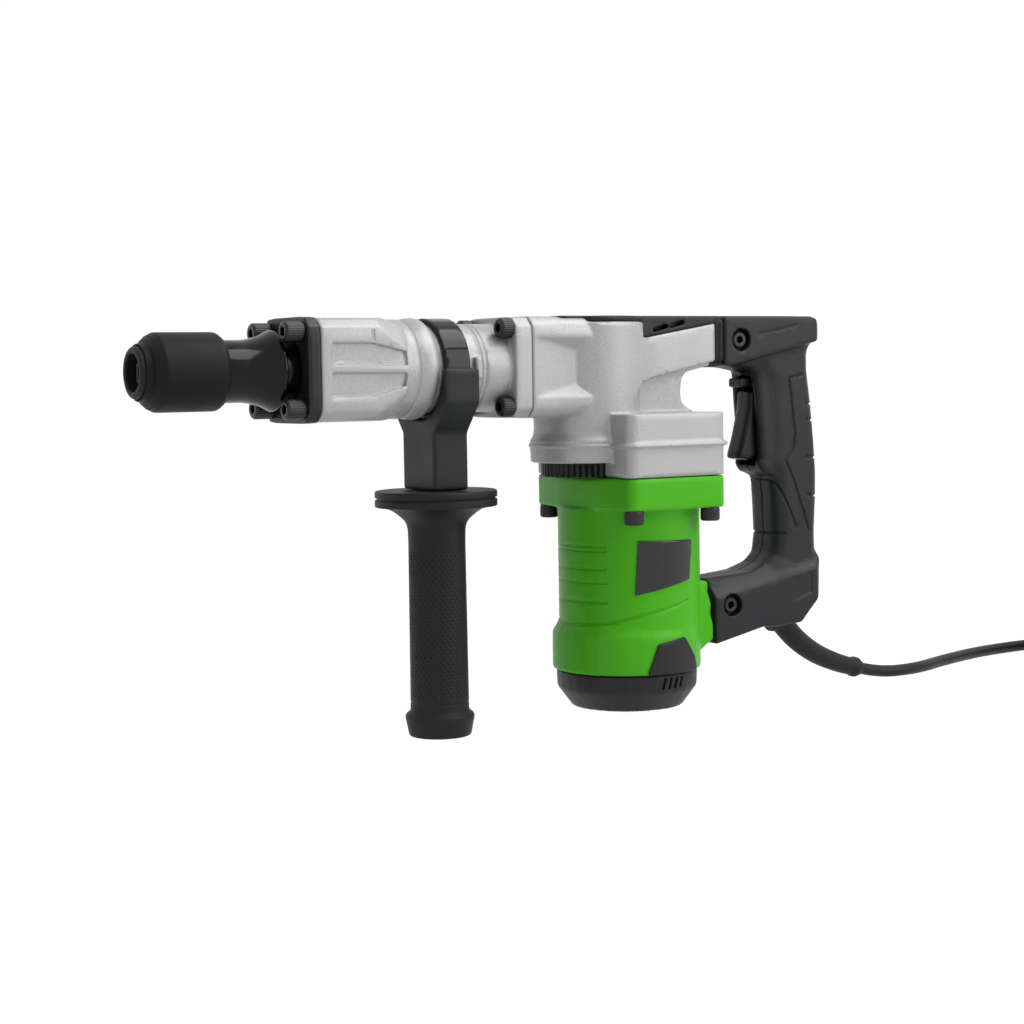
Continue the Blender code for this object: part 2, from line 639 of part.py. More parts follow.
# Chisel end
def make_chisel_end():
    lip, seat = NOSE_X - DUST_CAP_THICK, NOSE_X - CLEAR
    ring = [
        (DUST_CAP_BORE_R, lip), (DUST_CAP_R - DUST_CAP_EDGE, lip), (DUST_CAP_R, lip + DUST_CAP_EDGE),
        (DUST_CAP_R, seat), (DUST_CAP_BORE_R, seat),
    ]
    piece("dust_cap", turned(ring, "X", BARREL), BLACK_RUBBER)

    pocket_x = SHOULDER_X - SPRING_ROOM
    front = [
        (r + SLEEVE_R - SLEEVE_FRONT_ROUND, -a + SLEEVE_X + SLEEVE_FRONT_ROUND)
        for a, r in arc((0, 0), SLEEVE_FRONT_ROUND, 0, 90, 4)
    ]
    sleeve = [(SLEEVE_BORE_R, SLEEVE_X)] + front + [
        (SLEEVE_R, SLEEVE_REAR_X - SLEEVE_REAR_CHAMFER),
        (max(SLEEVE_R - SLEEVE_REAR_CHAMFER, SLEEVE_POCKET_R + SINK), SLEEVE_REAR_X),
        (SLEEVE_POCKET_R, SLEEVE_REAR_X), (SLEEVE_POCKET_R, pocket_x), (SLEEVE_BORE_R, pocket_x),
    ]
    piece("chuck_sleeve", turned(sleeve, "X", BARREL), BLACK_PLASTIC, origin=(SLEEVE_X, 0, BARREL_Z))

    spring_r = (NOSE_R + SLEEVE_POCKET_R) / 2
    low = pocket_x + SPRING_WIRE_R + SPRING_SIDE_GAP
    high = SHOULDER_X - SPRING_WIRE_R - SPRING_SIDE_GAP
    path = []
    for i in range(SPRING_TURNS * 10 + 1):
        angle = 2 * math.pi * i / 10
        along = low + (high - low) * i / (SPRING_TURNS * 10)
        path.append((along, spring_r * math.cos(angle), BARREL_Z + spring_r * math.sin(angle)))
    piece("sleeve_spring", swept(path, [SPRING_WIRE_R] * len(path), 6), BRIGHT_STEEL)

    bell = []
    for i in range(7):
        share = i / 6
        bell.append((NECK_R + (BELL_R - NECK_R) * share ** 2, NECK_X + (BELL_LENGTH - BELL_RIM) * share))
    holder = [(0, NOSE_X), (NOSE_R, NOSE_X), (NOSE_R, SHOULDER_X), (NECK_R, SHOULDER_X)] + bell + [
        (BELL_R, BELL_X), (BOSS_R, BELL_X), (BOSS_R, HOUSING_X - CLEAR), (0, HOUSING_X - CLEAR),
    ]
    bores = [
        extruded(hexagon(HEX_FLATS), "X", NOSE_X - REACH, HEX_END_X),
        rod("X", BARREL, IMPACT_STEM_R + CLEAR, HEX_END_X - SINK, IMPACT_COUNTERBORE_X + SINK, FINE_SIDES),
        rod("X", BARREL, IMPACT_COLLAR_R + CLEAR, IMPACT_COUNTERBORE_X, HOUSING_X + REACH, FINE_SIDES),
    ]
    piece("tool_holder", turned(holder, "X", BARREL), BLACK_STEEL, cut=bores)

    half = SQUARE_HALF + 0.0005
    plate = soft_square(half, SQUARE_CORNER, BARREL, SIDES)
    bolts = [(sy * FRONT_BOLT_OFFSET, BARREL_Z + sz * FRONT_BOLT_OFFSET) for sy, sz in FOUR_CORNERS]
    holes = [bolt_hole("X", centre, FLANGE_X - REACH, HOUSING_X + REACH) for centre in bolts]
    bore = rod("X", BARREL, BOSS_R + CLEAR, FLANGE_X - REACH, HOUSING_X + REACH, SIDES)
    slab = extruded(plate, "X", FLANGE_X, HOUSING_X - CLEAR)
    piece("front_flange", slab, BLACK_PLASTIC, cut=[joined(holes + [bore])])
    for number, centre in enumerate(bolts, 1):
        bolt(f"front_bolt_{number}", "X", centre, FLANGE_X, 1, FRONT_BOLT_LENGTH, FRONT_HEAD_LENGTH)


# Barrel
def barrel_section(x, half, corner):
    return [place("X", point, x) for point in soft_square(half, corner, BARREL, SIDES)]


def side_pad(side, up):
    """A cutter for one recessed pad, its outer edge slanting in where the barrel turns round."""
    low, high = PAD_GAP / 2, PAD_HALF
    start, bend = HOUSING_X + PAD_MARGIN, HOUSING_X + SQUARE_LENGTH - PAD_MARGIN
    end = HOUSING_X + SQUARE_LENGTH + TAPER_LENGTH * 0.7
    outline = [(start, low), (start, high), (bend, high), (end, (low + high) / 2), (end, low)]
    face = SQUARE_HALF - PAD_DEPTH
    ends = sorted((side * face, side * (SQUARE_HALF + REACH)))
    return extruded([(x, BARREL_Z + up * z) for x, z in outline], "Y", *ends)


def make_barrel():
    square, flange = (SQUARE_HALF, SQUARE_CORNER), (REAR_FLANGE_HALF, REAR_FLANGE_CORNER)
    waist, collar, tube = (WAIST_R, WAIST_R), (COLLAR_R, COLLAR_R), (TUBE_R, TUBE_R)
    sections = [
        (HOUSING_X, *square), (HOUSING_X + SQUARE_LENGTH, *square), (TAPER_X, *waist), (COLLAR_X, *waist),
        (COLLAR_X, *collar), (TUBE_X, *collar), (TUBE_X, *tube), (REAR_FLANGE_X, *tube),
        (REAR_FLANGE_X, *flange), (JOINT_X - CLEAR, *flange),
    ]
    front = [(sy * FRONT_BOLT_OFFSET, BARREL_Z + sz * FRONT_BOLT_OFFSET) for sy, sz in FOUR_CORNERS]
    rear = [(sy * CASE_BOLT_OFFSET, BARREL_Z + sz * CASE_BOLT_OFFSET) for sy, sz in FOUR_CORNERS]
    front_end = FLANGE_X + FRONT_BOLT_LENGTH + REACH
    holes = [bolt_hole("X", centre, HOUSING_X - REACH, front_end) for centre in front]
    holes += [bolt_hole("X", centre, REAR_FLANGE_X - REACH, JOINT_X + REACH) for centre in rear]
    bore = [
        rod("X", BARREL, LINER_R + CLEAR, LINER_X - CLEAR, JOINT_X + REACH, SIDES),
        rod("X", BARREL, LINER_BORE_R, HOUSING_X - REACH, LINER_X + REACH, FINE_SIDES),
    ]
    pads = [side_pad(side, up) for side in (-1, 1) for up in (-1, 1)]
    rings = [barrel_section(*section) for section in sections]
    piece("cylinder_housing", lofted(rings), CAST_SILVER, cut=[joined(holes), *bore, joined(pads)])
    for number, centre in enumerate(rear, 1):
        bolt(f"case_bolt_{number}", "X", centre, REAR_FLANGE_X, 1, CASE_BOLT_LENGTH)

    liner = [
        (LINER_R, LINER_X), (LINER_R, LINER_REAR_X), (LINER_BORE_R, LINER_REAR_X), (LINER_BORE_R, LINER_X),
    ]
    piece("cylinder_liner", turned(liner, "X", BARREL), BRIGHT_STEEL)


# Hammer mechanism
def make_mechanism():
    tail_x = IMPACT_COLLAR_X + IMPACT_COLLAR_LENGTH
    anvil = [
        (0, IMPACT_X), (IMPACT_STEM_R, IMPACT_X), (IMPACT_STEM_R, IMPACT_COLLAR_X),
        (IMPACT_COLLAR_R, IMPACT_COLLAR_X), (IMPACT_COLLAR_R, tail_x), (IMPACT_TAIL_R, tail_x),
        (IMPACT_TAIL_R, tail_x + IMPACT_TAIL_LENGTH), (0, tail_x + IMPACT_TAIL_LENGTH),
    ]
    anvil = turned(anvil, "X", BARREL, FINE_SIDES)
    piece("impact_bolt", anvil, BRIGHT_STEEL, origin=(IMPACT_X, 0, BARREL_Z))

    slide_r = LINER_BORE_R - CLEAR
    ram = rod("X", BARREL, slide_r, STRIKER_X, STRIKER_REAR_X, SIDES)
    piece("striker", ram, BRIGHT_STEEL, origin=(STRIKER_X, 0, BARREL_Z))

    body = rod("X", BARREL, slide_r, PISTON_X, PISTON_REAR_X, SIDES)
    half = ROD_THICK / 2 + CLEAR
    slot_x, slot_end_x = PISTON_X + PISTON_CROWN, PISTON_REAR_X + REACH
    slot = box((slot_x, -LINER_R, BARREL_Z - half), (slot_end_x, LINER_R, BARREL_Z + half))
    pin_axis = (PISTON_PIN_X, 0)
    pin_reach = slide_r - 0.003
    pin_hole = rod("Z", pin_axis, PISTON_PIN_R + CLEAR, BARREL_Z - LINER_R, BARREL_Z + LINER_R, FINE_SIDES)
    piece("piston", body, BRIGHT_STEEL, origin=(PISTON_PIN_X, 0, BARREL_Z), cut=[slot, pin_hole])
    pin = rod("Z", pin_axis, PISTON_PIN_R, BARREL_Z - pin_reach, BARREL_Z + pin_reach, FINE_SIDES)
    piece("piston_pin", pin, BRIGHT_STEEL, origin=(PISTON_PIN_X, 0, BARREL_Z))

    low, high = ROD_LOW_Z, ROD_LOW_Z + ROD_THICK
    small = arc(pin_axis, ROD_SMALL_R, 40, 320, 12)
    big = arc((CRANK_PIN_X, 0), ROD_BIG_R, 210, 510, 14)
    eyes = [
        rod("Z", pin_axis, PISTON_PIN_R + CLEAR, low - REACH, high + REACH, FINE_SIDES),
        rod("Z", (CRANK_PIN_X, 0), CRANK_PIN_R + CLEAR, low - REACH, high + REACH, FINE_SIDES),
    ]
    shank = extruded(small + big, "Z", low, high)
    piece("connecting_rod", shank, BRIGHT_STEEL, origin=(PISTON_PIN_X, 0, BARREL_Z), cut=[joined(eyes)])

    disc_top = CRANK_DISC_Z + CRANK_DISC_THICK
    foot = GEAR_Z - 0.003
    shaft = [
        (0, foot), (CRANK_SHAFT_R, foot), (CRANK_SHAFT_R, CRANK_DISC_Z), (CRANK_DISC_R, CRANK_DISC_Z),
        (CRANK_DISC_R, disc_top), (0, disc_top),
    ]
    throw = rod("Z", (CRANK_PIN_X, 0), CRANK_PIN_R, disc_top - SINK, CRANK_PIN_TOP_Z, FINE_SIDES)
    shaft = turned(shaft, "Z", CRANK)
    piece("crankshaft", shaft, BRIGHT_STEEL, origin=(CRANK_X, 0, CRANK_DISC_Z), add=[throw])

    gap_phase = math.pi / GEAR_TEETH
    teeth = tooth_outline(CRANK, GEAR_TEETH, GEAR_ADDENDUM, GEAR_DEDENDUM, gap_phase)
    eye = rod("Z", CRANK, CRANK_SHAFT_R + CLEAR, GEAR_Z - REACH, GEAR_Z + GEAR_THICK + REACH, SIDES)
    wheel = extruded(teeth, "Z", GEAR_Z, GEAR_Z + GEAR_THICK)
    piece("crank_gear", wheel, BRIGHT_STEEL, origin=(CRANK_X, 0, GEAR_Z), cut=[eye])

    top = CRANK_BEARING_Z + CRANK_BEARING_THICK
    race = [
        (CRANK_BEARING_R, CRANK_BEARING_Z), (CRANK_BEARING_R, top),
        (CRANK_SHAFT_R + CLEAR, top), (CRANK_SHAFT_R + CLEAR, CRANK_BEARING_Z),
    ]
    piece("crank_bearing", turned(race, "Z", CRANK), BRIGHT_STEEL)


# Gear case and its cover
def motor_plan(front_bulge, half, front_x, rear_x, corner):
    """The outline of the motor box: a rectangle with round corners and, if wanted, a bowed front."""
    points = rounded_rectangle((front_x, -half), (rear_x, half), corner)
    if front_bulge:
        side = half - corner
        radius = (front_bulge ** 2 + side ** 2) / (2 * front_bulge)
        spread = math.degrees(math.asin(side / radius))
        bow = arc((front_x - front_bulge + radius, 0), radius, 180 - spread, 180 + spread, 10)
        split = next(i for i, point in enumerate(points) if point[1] < 0)
        points = points[:split] + bow[1:-1] + points[split:]
    return points


def motor_bolt_places():
    along = {-1: BOX_FRONT_X + MOTOR_BOLT_FRONT, 1: BOX_REAR_X - MOTOR_BOLT_REAR}
    return [(along[sx], sy * (BOX_HALF - MOTOR_BOLT_SIDE)) for sx, sy in FOUR_CORNERS]


def make_gear_case():
    roof_z = TOP_Z
    block_end = JOINT_X + FRONT_BLOCK_LENGTH
    square = soft_square(REAR_FLANGE_HALF, REAR_FLANGE_CORNER, BARREL, SIDES)
    block = extruded(square, "X", JOINT_X, block_end)
    core = box((block_end - SINK, -CORE_HALF, BARREL_Z - CORE_HALF), (CRANK_X, CORE_HALF, roof_z))
    lug_offset = min(REAR_FLANGE_HALF - BOSS_LUG_R, TOP_HEIGHT - BOSS_LUG_R)
    lugs = [
        rod("X", (sy * (REAR_FLANGE_HALF - BOSS_LUG_R), BARREL_Z + sz * lug_offset), BOSS_LUG_R,
            block_end - SINK, block_end + BOSS_LUG_LENGTH, FINE_SIDES)
        for sy, sz in FOUR_CORNERS
    ]
    skirt_low = BOX_FOOT_Z + SKIRT_GAP
    tower = rod("Z", CRANK, TOWER_R, BOX_FOOT_Z + BOX_HEIGHT / 2, roof_z, SIDES)
    skirt = rod("Z", CRANK, SKIRT_R, skirt_low, skirt_low + SKIRT_HEIGHT, SIDES)
    neck = rod("Z", CRANK, GEAR_ROOM_R + GEAR_ROOM_WALL, BOX_FOOT_Z, skirt_low + SINK, SIDES)
    plan = motor_plan(0, BOX_HALF, BOX_FRONT_X, BOX_REAR_X, BOX_CORNER)
    motor_box = extruded(plan, "Z", BOX_FOOT_Z, BOX_TOP_Z)
    bead_plan = motor_plan(0, BOX_HALF + BEAD_R, BOX_FRONT_X - BEAD_R, BOX_REAR_X + BEAD_R, BOX_CORNER)
    bead_z = BOX_FOOT_Z + BEAD_HEIGHT
    bead = extruded(bead_plan, "Z", bead_z - BEAD_R, bead_z + BEAD_R)
    arm_low_z = COVER_TOP_Z - COVER_THICK - ARM_REAR_DEPTH
    arm_front_z = BARREL_Z - ARM_FRONT_DROP
    arm_outline = [(CRANK_X, arm_front_z), (ARM_REAR_X, arm_low_z), (ARM_REAR_X, roof_z), (CRANK_X, roof_z)]
    arm = extruded(arm_outline, "Y", -ARM_HALF, ARM_HALF)
    web = box((CRANK_X, -WEB_HALF, BOX_TOP_Z - SINK), (WEB_REAR_X, WEB_HALF, BARREL_Z - ARM_FRONT_DROP / 2))
    pinion_room = (PINION_TEETH / 2 + 1) * GEAR_MODULE + 0.003
    gear_room_z = CRANK_BEARING_Z - 0.0015
    rooms = [
        rod("Z", CRANK, GEAR_ROOM_R, BOX_FOOT_Z - REACH, gear_room_z, SIDES),
        rod("Z", MOTOR, pinion_room, BOX_FOOT_Z - REACH, gear_room_z - SINK, FINE_SIDES),
        rod("Z", CRANK, CRANK_BEARING_R + CLEAR, gear_room_z - SINK, CRANK_DISC_Z, SIDES),
        rod("Z", CRANK, CHAMBER_R, CRANK_DISC_Z - 0.002, roof_z - TOWER_ROOF, SIDES),
        rod("X", BARREL, LINER_R + CLEAR, JOINT_X - REACH, CRANK_X, SIDES),
    ]
    case_bolts = [(sy * CASE_BOLT_OFFSET, BARREL_Z + sz * CASE_BOLT_OFFSET) for sy, sz in FOUR_CORNERS]
    bolt_end = REAR_FLANGE_X + CASE_BOLT_LENGTH + REACH
    holes = [bolt_hole("X", centre, JOINT_X - REACH, bolt_end) for centre in case_bolts]
    motor_bolt_end = FLANGE_FOOT_Z + MOTOR_BOLT_LENGTH + REACH
    holes += [bolt_hole("Z", centre, BOX_FOOT_Z - REACH, motor_bolt_end) for centre in motor_bolt_places()]
    wedge_room = extruded(wedge_outline(CLEAR, REACH), "Y", -TOWER_R, TOWER_R)
    piece(
        "gear_case", block, CAST_SILVER,
        add=[core, joined(lugs), tower, skirt, neck, motor_box, bead, arm, web],
        cut=[wedge_room, *rooms, joined(holes)],
    )
    make_top_cover(roof_z)


def wedge_outline(gap, past):
    """The side outline of the cover's wedge, let into the arm by a gap and run past the arm's rear face."""
    under = TOP_Z + CLEAR - gap
    front_x, rear_x = WEDGE_FRONT_X - gap, ARM_REAR_X + past
    slope = (WEDGE_DEPTH - WEDGE_REAR_DEPTH) / (ARM_REAR_X - WEDGE_FRONT_X)
    rear_z = under - WEDGE_DEPTH + slope * (rear_x - front_x)
    return [(front_x, COVER_TOP_Z), (rear_x, COVER_TOP_Z), (rear_x, rear_z), (front_x, under - WEDGE_DEPTH)]


def make_top_cover(roof_z):
    low, high = roof_z + CLEAR, COVER_TOP_Z
    plate = rounded_rectangle((COVER_FRONT_X, -COVER_HALF), (WEDGE_FRONT_X + SINK, COVER_HALF), 0.006)
    slots = []
    for number in range(2):
        x = WEDGE_FRONT_X + SLOT_X + number * SLOT_PITCH
        z = high - SLOT_DROP + number * SLOT_STEP
        low_corner = (x - SLOT_LENGTH / 2, z - SLOT_HEIGHT / 2)
        outline = rounded_rectangle(low_corner, (x + SLOT_LENGTH / 2, z + SLOT_HEIGHT / 2), SLOT_CORNER, 2)
        for side in (-1, 1):
            ends = sorted((side * (COVER_HALF - SLOT_DEPTH), side * (COVER_HALF + REACH)))
            slots.append(extruded(outline, "Y", *ends))
    piece(
        "top_cover", extruded(plate, "Z", low, high), BLACK_PLASTIC,
        add=[extruded(wedge_outline(0, 0), "Y", -COVER_HALF, COVER_HALF)], cut=[joined(slots)],
    )


# Motor
def make_motor():
    inner_r = MOTOR_R - MOTOR_WALL
    foot = CAP_TOP_Z + CLEAR
    casing, low_casing = (CASING_SHIFT, 0), (CAP_SHIFT, 0)
    barrel = rod("Z", casing, MOTOR_R, foot + SINK, FLANGE_FOOT_Z + SINK, SIDES)
    flare = [
        (0, foot), (FLARE_R, foot), (FLARE_R, FLARE_TOP_Z), (MOTOR_R - SINK * 3, FLARE_TOP_Z + FLARE_SLOPE),
        (0, FLARE_TOP_Z + FLARE_SLOPE),
    ]
    top = FLANGE_FOOT_Z + MOTOR_FLANGE_THICK
    plan = motor_plan(FLANGE_BULGE, BOX_HALF, BOX_FRONT_X, BOX_REAR_X, BOX_CORNER)
    flange = extruded(plan, "Z", FLANGE_FOOT_Z, top)
    lug = box((0, -LUG_HALF, LUG_LOW_Z), (LUG_REAR_X, LUG_HALF, LUG_HIGH_Z))
    seat_z = top - BEARING_THICK - 0.001
    rooms = [
        rod("Z", MOTOR, inner_r, foot - REACH, FLANGE_FOOT_Z - SINK, SIDES),
        rod("Z", MOTOR, BEARING_R + CLEAR, seat_z, top + REACH, FINE_SIDES),
        rod("Z", MOTOR, SHAFT_R + 0.002, FLANGE_FOOT_Z - REACH, seat_z + SINK, FINE_SIDES),
    ]
    holes = [bolt_hole("Z", centre, FLANGE_FOOT_Z - REACH, top + REACH) for centre in motor_bolt_places()]
    piece(
        "motor_housing", barrel, GREEN_PLASTIC,
        add=[turned(flare, "Z", low_casing), flange, lug], cut=[*rooms, joined(holes)],
    )
    for number, centre in enumerate(motor_bolt_places(), 1):
        bolt(f"motor_bolt_{number}", "Z", centre, FLANGE_FOOT_Z, 1, MOTOR_BOLT_LENGTH)

    cup_r = BEARING_R - CUP_STEP
    cup_floor = CAP_FLOOR + CUP_RISE
    cup_top = cup_floor + BEARING_THICK
    cap = [
        (0, 0), (CAP_FOOT_R, 0), (CAP_EDGE_R, CAP_EDGE_Z), (CAP_R, CAP_TOP_Z), (CAP_R - CAP_WALL, CAP_TOP_Z),
        (CAP_EDGE_R - CAP_WALL, CAP_EDGE_Z), (CAP_FOOT_R - CAP_WALL / 2, CAP_FLOOR), (0, CAP_FLOOR),
    ]
    cup = [
        (0, CAP_FLOOR - SINK), (cup_r + CUP_WALL, CAP_FLOOR - SINK), (cup_r + CUP_WALL, cup_top),
        (cup_r + CLEAR, cup_top), (cup_r + CLEAR, cup_floor), (0, cup_floor),
    ]
    cap_body, cap_cup = turned(cap, "Z", low_casing), turned(cup, "Z", MOTOR, FINE_SIDES)
    piece("motor_end_cap", cap_body, BLACK_PLASTIC, add=[cap_cup])

    def bearing(name, outer_r, low):
        high = low + BEARING_THICK - CLEAR
        race = [(outer_r, low), (outer_r, high), (SHAFT_R + CLEAR, high), (SHAFT_R + CLEAR, low)]
        piece(name, turned(race, "Z", MOTOR, FINE_SIDES), BRIGHT_STEEL)

    bearing("motor_bearing_upper", BEARING_R, seat_z + CLEAR)
    bearing("motor_bearing_lower", cup_r, cup_floor + CLEAR)

    shaft_low, shaft_high = cup_floor + CLEAR * 2, GEAR_Z - 0.002
    pinion = tooth_outline(MOTOR, PINION_TEETH, PINION_ADDENDUM, PINION_DEDENDUM, math.pi)
    pinion_high = GEAR_Z + GEAR_THICK + 0.001
    piece(
        "armature_shaft", rod("Z", MOTOR, SHAFT_R, shaft_low, shaft_high, FINE_SIDES), BRIGHT_STEEL,
        origin=(0, 0, shaft_low), add=[extruded(pinion, "Z", shaft_high - SINK, pinion_high)],
    )

    def sleeve_on_shaft(name, outer_r, low, high, look):
        wall = [(outer_r, low), (outer_r, high), (SHAFT_R + CLEAR, high), (SHAFT_R + CLEAR, low)]
        piece(name, turned(wall, "Z", MOTOR), look, origin=(0, 0, low))

    sleeve_on_shaft("armature_core", CORE_R, CORE_LOW_Z, CORE_HIGH_Z, COPPER)
    sleeve_on_shaft("commutator", COMMUTATOR_R, COMMUTATOR_LOW_Z, COMMUTATOR_HIGH_Z, COPPER)

    blades = []
    for blade in range(FAN_BLADES):
        middle = 360 * blade / FAN_BLADES
        half = math.degrees(FAN_BLADE_ANGLE) / 2
        blades += arc(MOTOR, FAN_R, middle - half, middle + half, 2)
        blades += arc(MOTOR, FAN_HUB_R, middle + half * 2, middle + 360 / FAN_BLADES - half * 2, 1)
    fan_low = CORE_HIGH_Z + 0.002
    eye = rod("Z", MOTOR, SHAFT_R + CLEAR, fan_low - REACH, fan_low + FAN_HEIGHT + REACH, FINE_SIDES)
    wheel = extruded(blades, "Z", fan_low, fan_low + FAN_HEIGHT)
    piece("cooling_fan", wheel, BLACK_PLASTIC, origin=(0, 0, fan_low), cut=[eye])

    stack = [
        (inner_r - CLEAR, CORE_LOW_Z), (inner_r - CLEAR, CORE_HIGH_Z),
        (CORE_R + AIR_GAP, CORE_HIGH_Z), (CORE_R + AIR_GAP, CORE_LOW_Z),
    ]
    piece("stator_core", turned(stack, "Z", MOTOR), BRIGHT_STEEL)
    make_brushes(inner_r)


def make_brushes(inner_r):
    plate_top = ROCKER_LOW_Z + ROCKER_THICK
    start = COMMUTATOR_R + 0.003
    end = min(start + BRUSH_BOX_LENGTH, inner_r - 0.003)
    rim = inner_r - CLEAR
    ring = [(rim, ROCKER_LOW_Z), (rim, plate_top), (start, plate_top), (start, ROCKER_LOW_Z)]
    half = BRUSH_WIDE / 2 + BRUSH_BOX_WALL
    box_top = plate_top + BRUSH_HIGH + 2 * BRUSH_BOX_WALL
    boxes = [
        box((-half, min(side * (start + SINK), side * end), plate_top - SINK),
            (half, max(side * (start + SINK), side * end), box_top))
        for side in (-1, 1)
    ]
    hole_low = plate_top + BRUSH_BOX_WALL
    tunnel_half = BRUSH_WIDE / 2 + CLEAR
    hole_high = hole_low + BRUSH_HIGH + 2 * CLEAR
    tunnel = box((-tunnel_half, -inner_r, hole_low), (tunnel_half, inner_r, hole_high))
    piece("brush_rocker", turned(ring, "Z", MOTOR), BRASS, add=[joined(boxes)], cut=[tunnel])
    for name, side in (("carbon_brush_left", -1), ("carbon_brush_right", 1)):
        near, far = COMMUTATOR_R + CLEAR, COMMUTATOR_R + CLEAR + BRUSH_LENGTH
        low = (-BRUSH_WIDE / 2, min(side * near, side * far), hole_low + CLEAR)
        high = (BRUSH_WIDE / 2, max(side * near, side * far), hole_low + CLEAR + BRUSH_HIGH)
        piece(name, box(low, high), CARBON)


# D-handle
def steps_from(x, z, steps):
    return [(x + dx, z + dz) for dx, dz in steps]


def handle_outline():
    """The handle's side outline as (x, z), clockwise seen from the right."""
    top, foot, front = COVER_TOP_Z, LUG_LOW_Z, HANDLE_X
    back, grip_front = front + HANDLE_LENGTH, front + GRIP_FRONT
    corner = arc((back - TOP_CORNER_BACK, top - TOP_CORNER_R), TOP_CORNER_R, 90, 10, 4)
    rear = steps_from(back, top, GRIP_BACK) + steps_from(back, foot, HANDLE_FOOT)
    ends = [(FOOT_X, foot - FOOT_DROP), (FOOT_X, LUG_HIGH_Z + FOOT_RISE)]
    inner = steps_from(grip_front, foot, GRIP_HEEL) + steps_from(grip_front, top, GRIP_INSIDE)
    bar = steps_from(front, top, [TOP_BAR_INSIDE, (0, -TOP_BAR_DEPTH)])
    return [(front, top)] + corner + rear + ends + inner + bar


def handle_half(z):
    """Half the handle's width at a height: the grip is slimmer than the top and the foot."""
    above = min(max((z - COVER_TOP_Z + GRIP_TOP_DROP) / GRIP_BLEND, 0), 1)
    below = min(max((LUG_HIGH_Z + GRIP_LOW_RISE - z) / GRIP_BLEND, 0), 1)
    share = max(above, below)
    return GRIP_HALF + (ENDS_HALF - GRIP_HALF) * share * share * (3 - 2 * share)


def handle_shell(side):
    """One half of the handle's body, from the middle plane outwards, with rounded long edges."""
    outline = handle_outline()
    rings = [[(x, side * CLEAR / 2, z) for x, z in outline]]
    for step in range(EDGE_STEPS + 1):
        angle = math.pi / 2 * step / EDGE_STEPS
        drawn_in = inset(outline, HANDLE_EDGE * (1 - math.cos(angle)))
        depth = HANDLE_EDGE * (1 - math.sin(angle))
        rings.append([(x, side * (handle_half(z) - depth), z) for x, z in drawn_in])
    return lofted(rings)


def clipped(outline, limit):
    """The part of an outline with x above a limit."""
    kept = []
    for (x0, z0), (x1, z1) in zip(outline, outline[1:] + outline[:1]):
        if x0 >= limit:
            kept.append((x0, z0))
        if (x0 - limit) * (x1 - limit) < 0:
            kept.append((limit, z0 + (z1 - z0) * (limit - x0) / (x1 - x0)))
    return kept


def handle_cavity(side):
    """The hollow of one half. The ends round the screws stay solid."""
    limit = HANDLE_X + HANDLE_SOLID_END
    wide = clipped(inset(handle_outline(), HANDLE_WALL), limit)
    narrow = inset(wide, HANDLE_EDGE * 0.5)
    rings = [
        [(x, -side * REACH, z) for x, z in wide],
        [(x, side * (GRIP_HALF - HANDLE_EDGE), z) for x, z in wide],
        [(x, side * (GRIP_HALF - HANDLE_WALL), z) for x, z in narrow],
    ]
    return lofted(rings)


def trigger_pivot():
    return HANDLE_X + TRIGGER_BACK, COVER_TOP_Z - TRIGGER_DROP


def trigger_outline():
    px, pz = trigger_pivot()
    return steps_from(px, pz, TRIGGER_LEVER) + arc((px, pz), TRIGGER_HUB_R, -50, 100, 5)


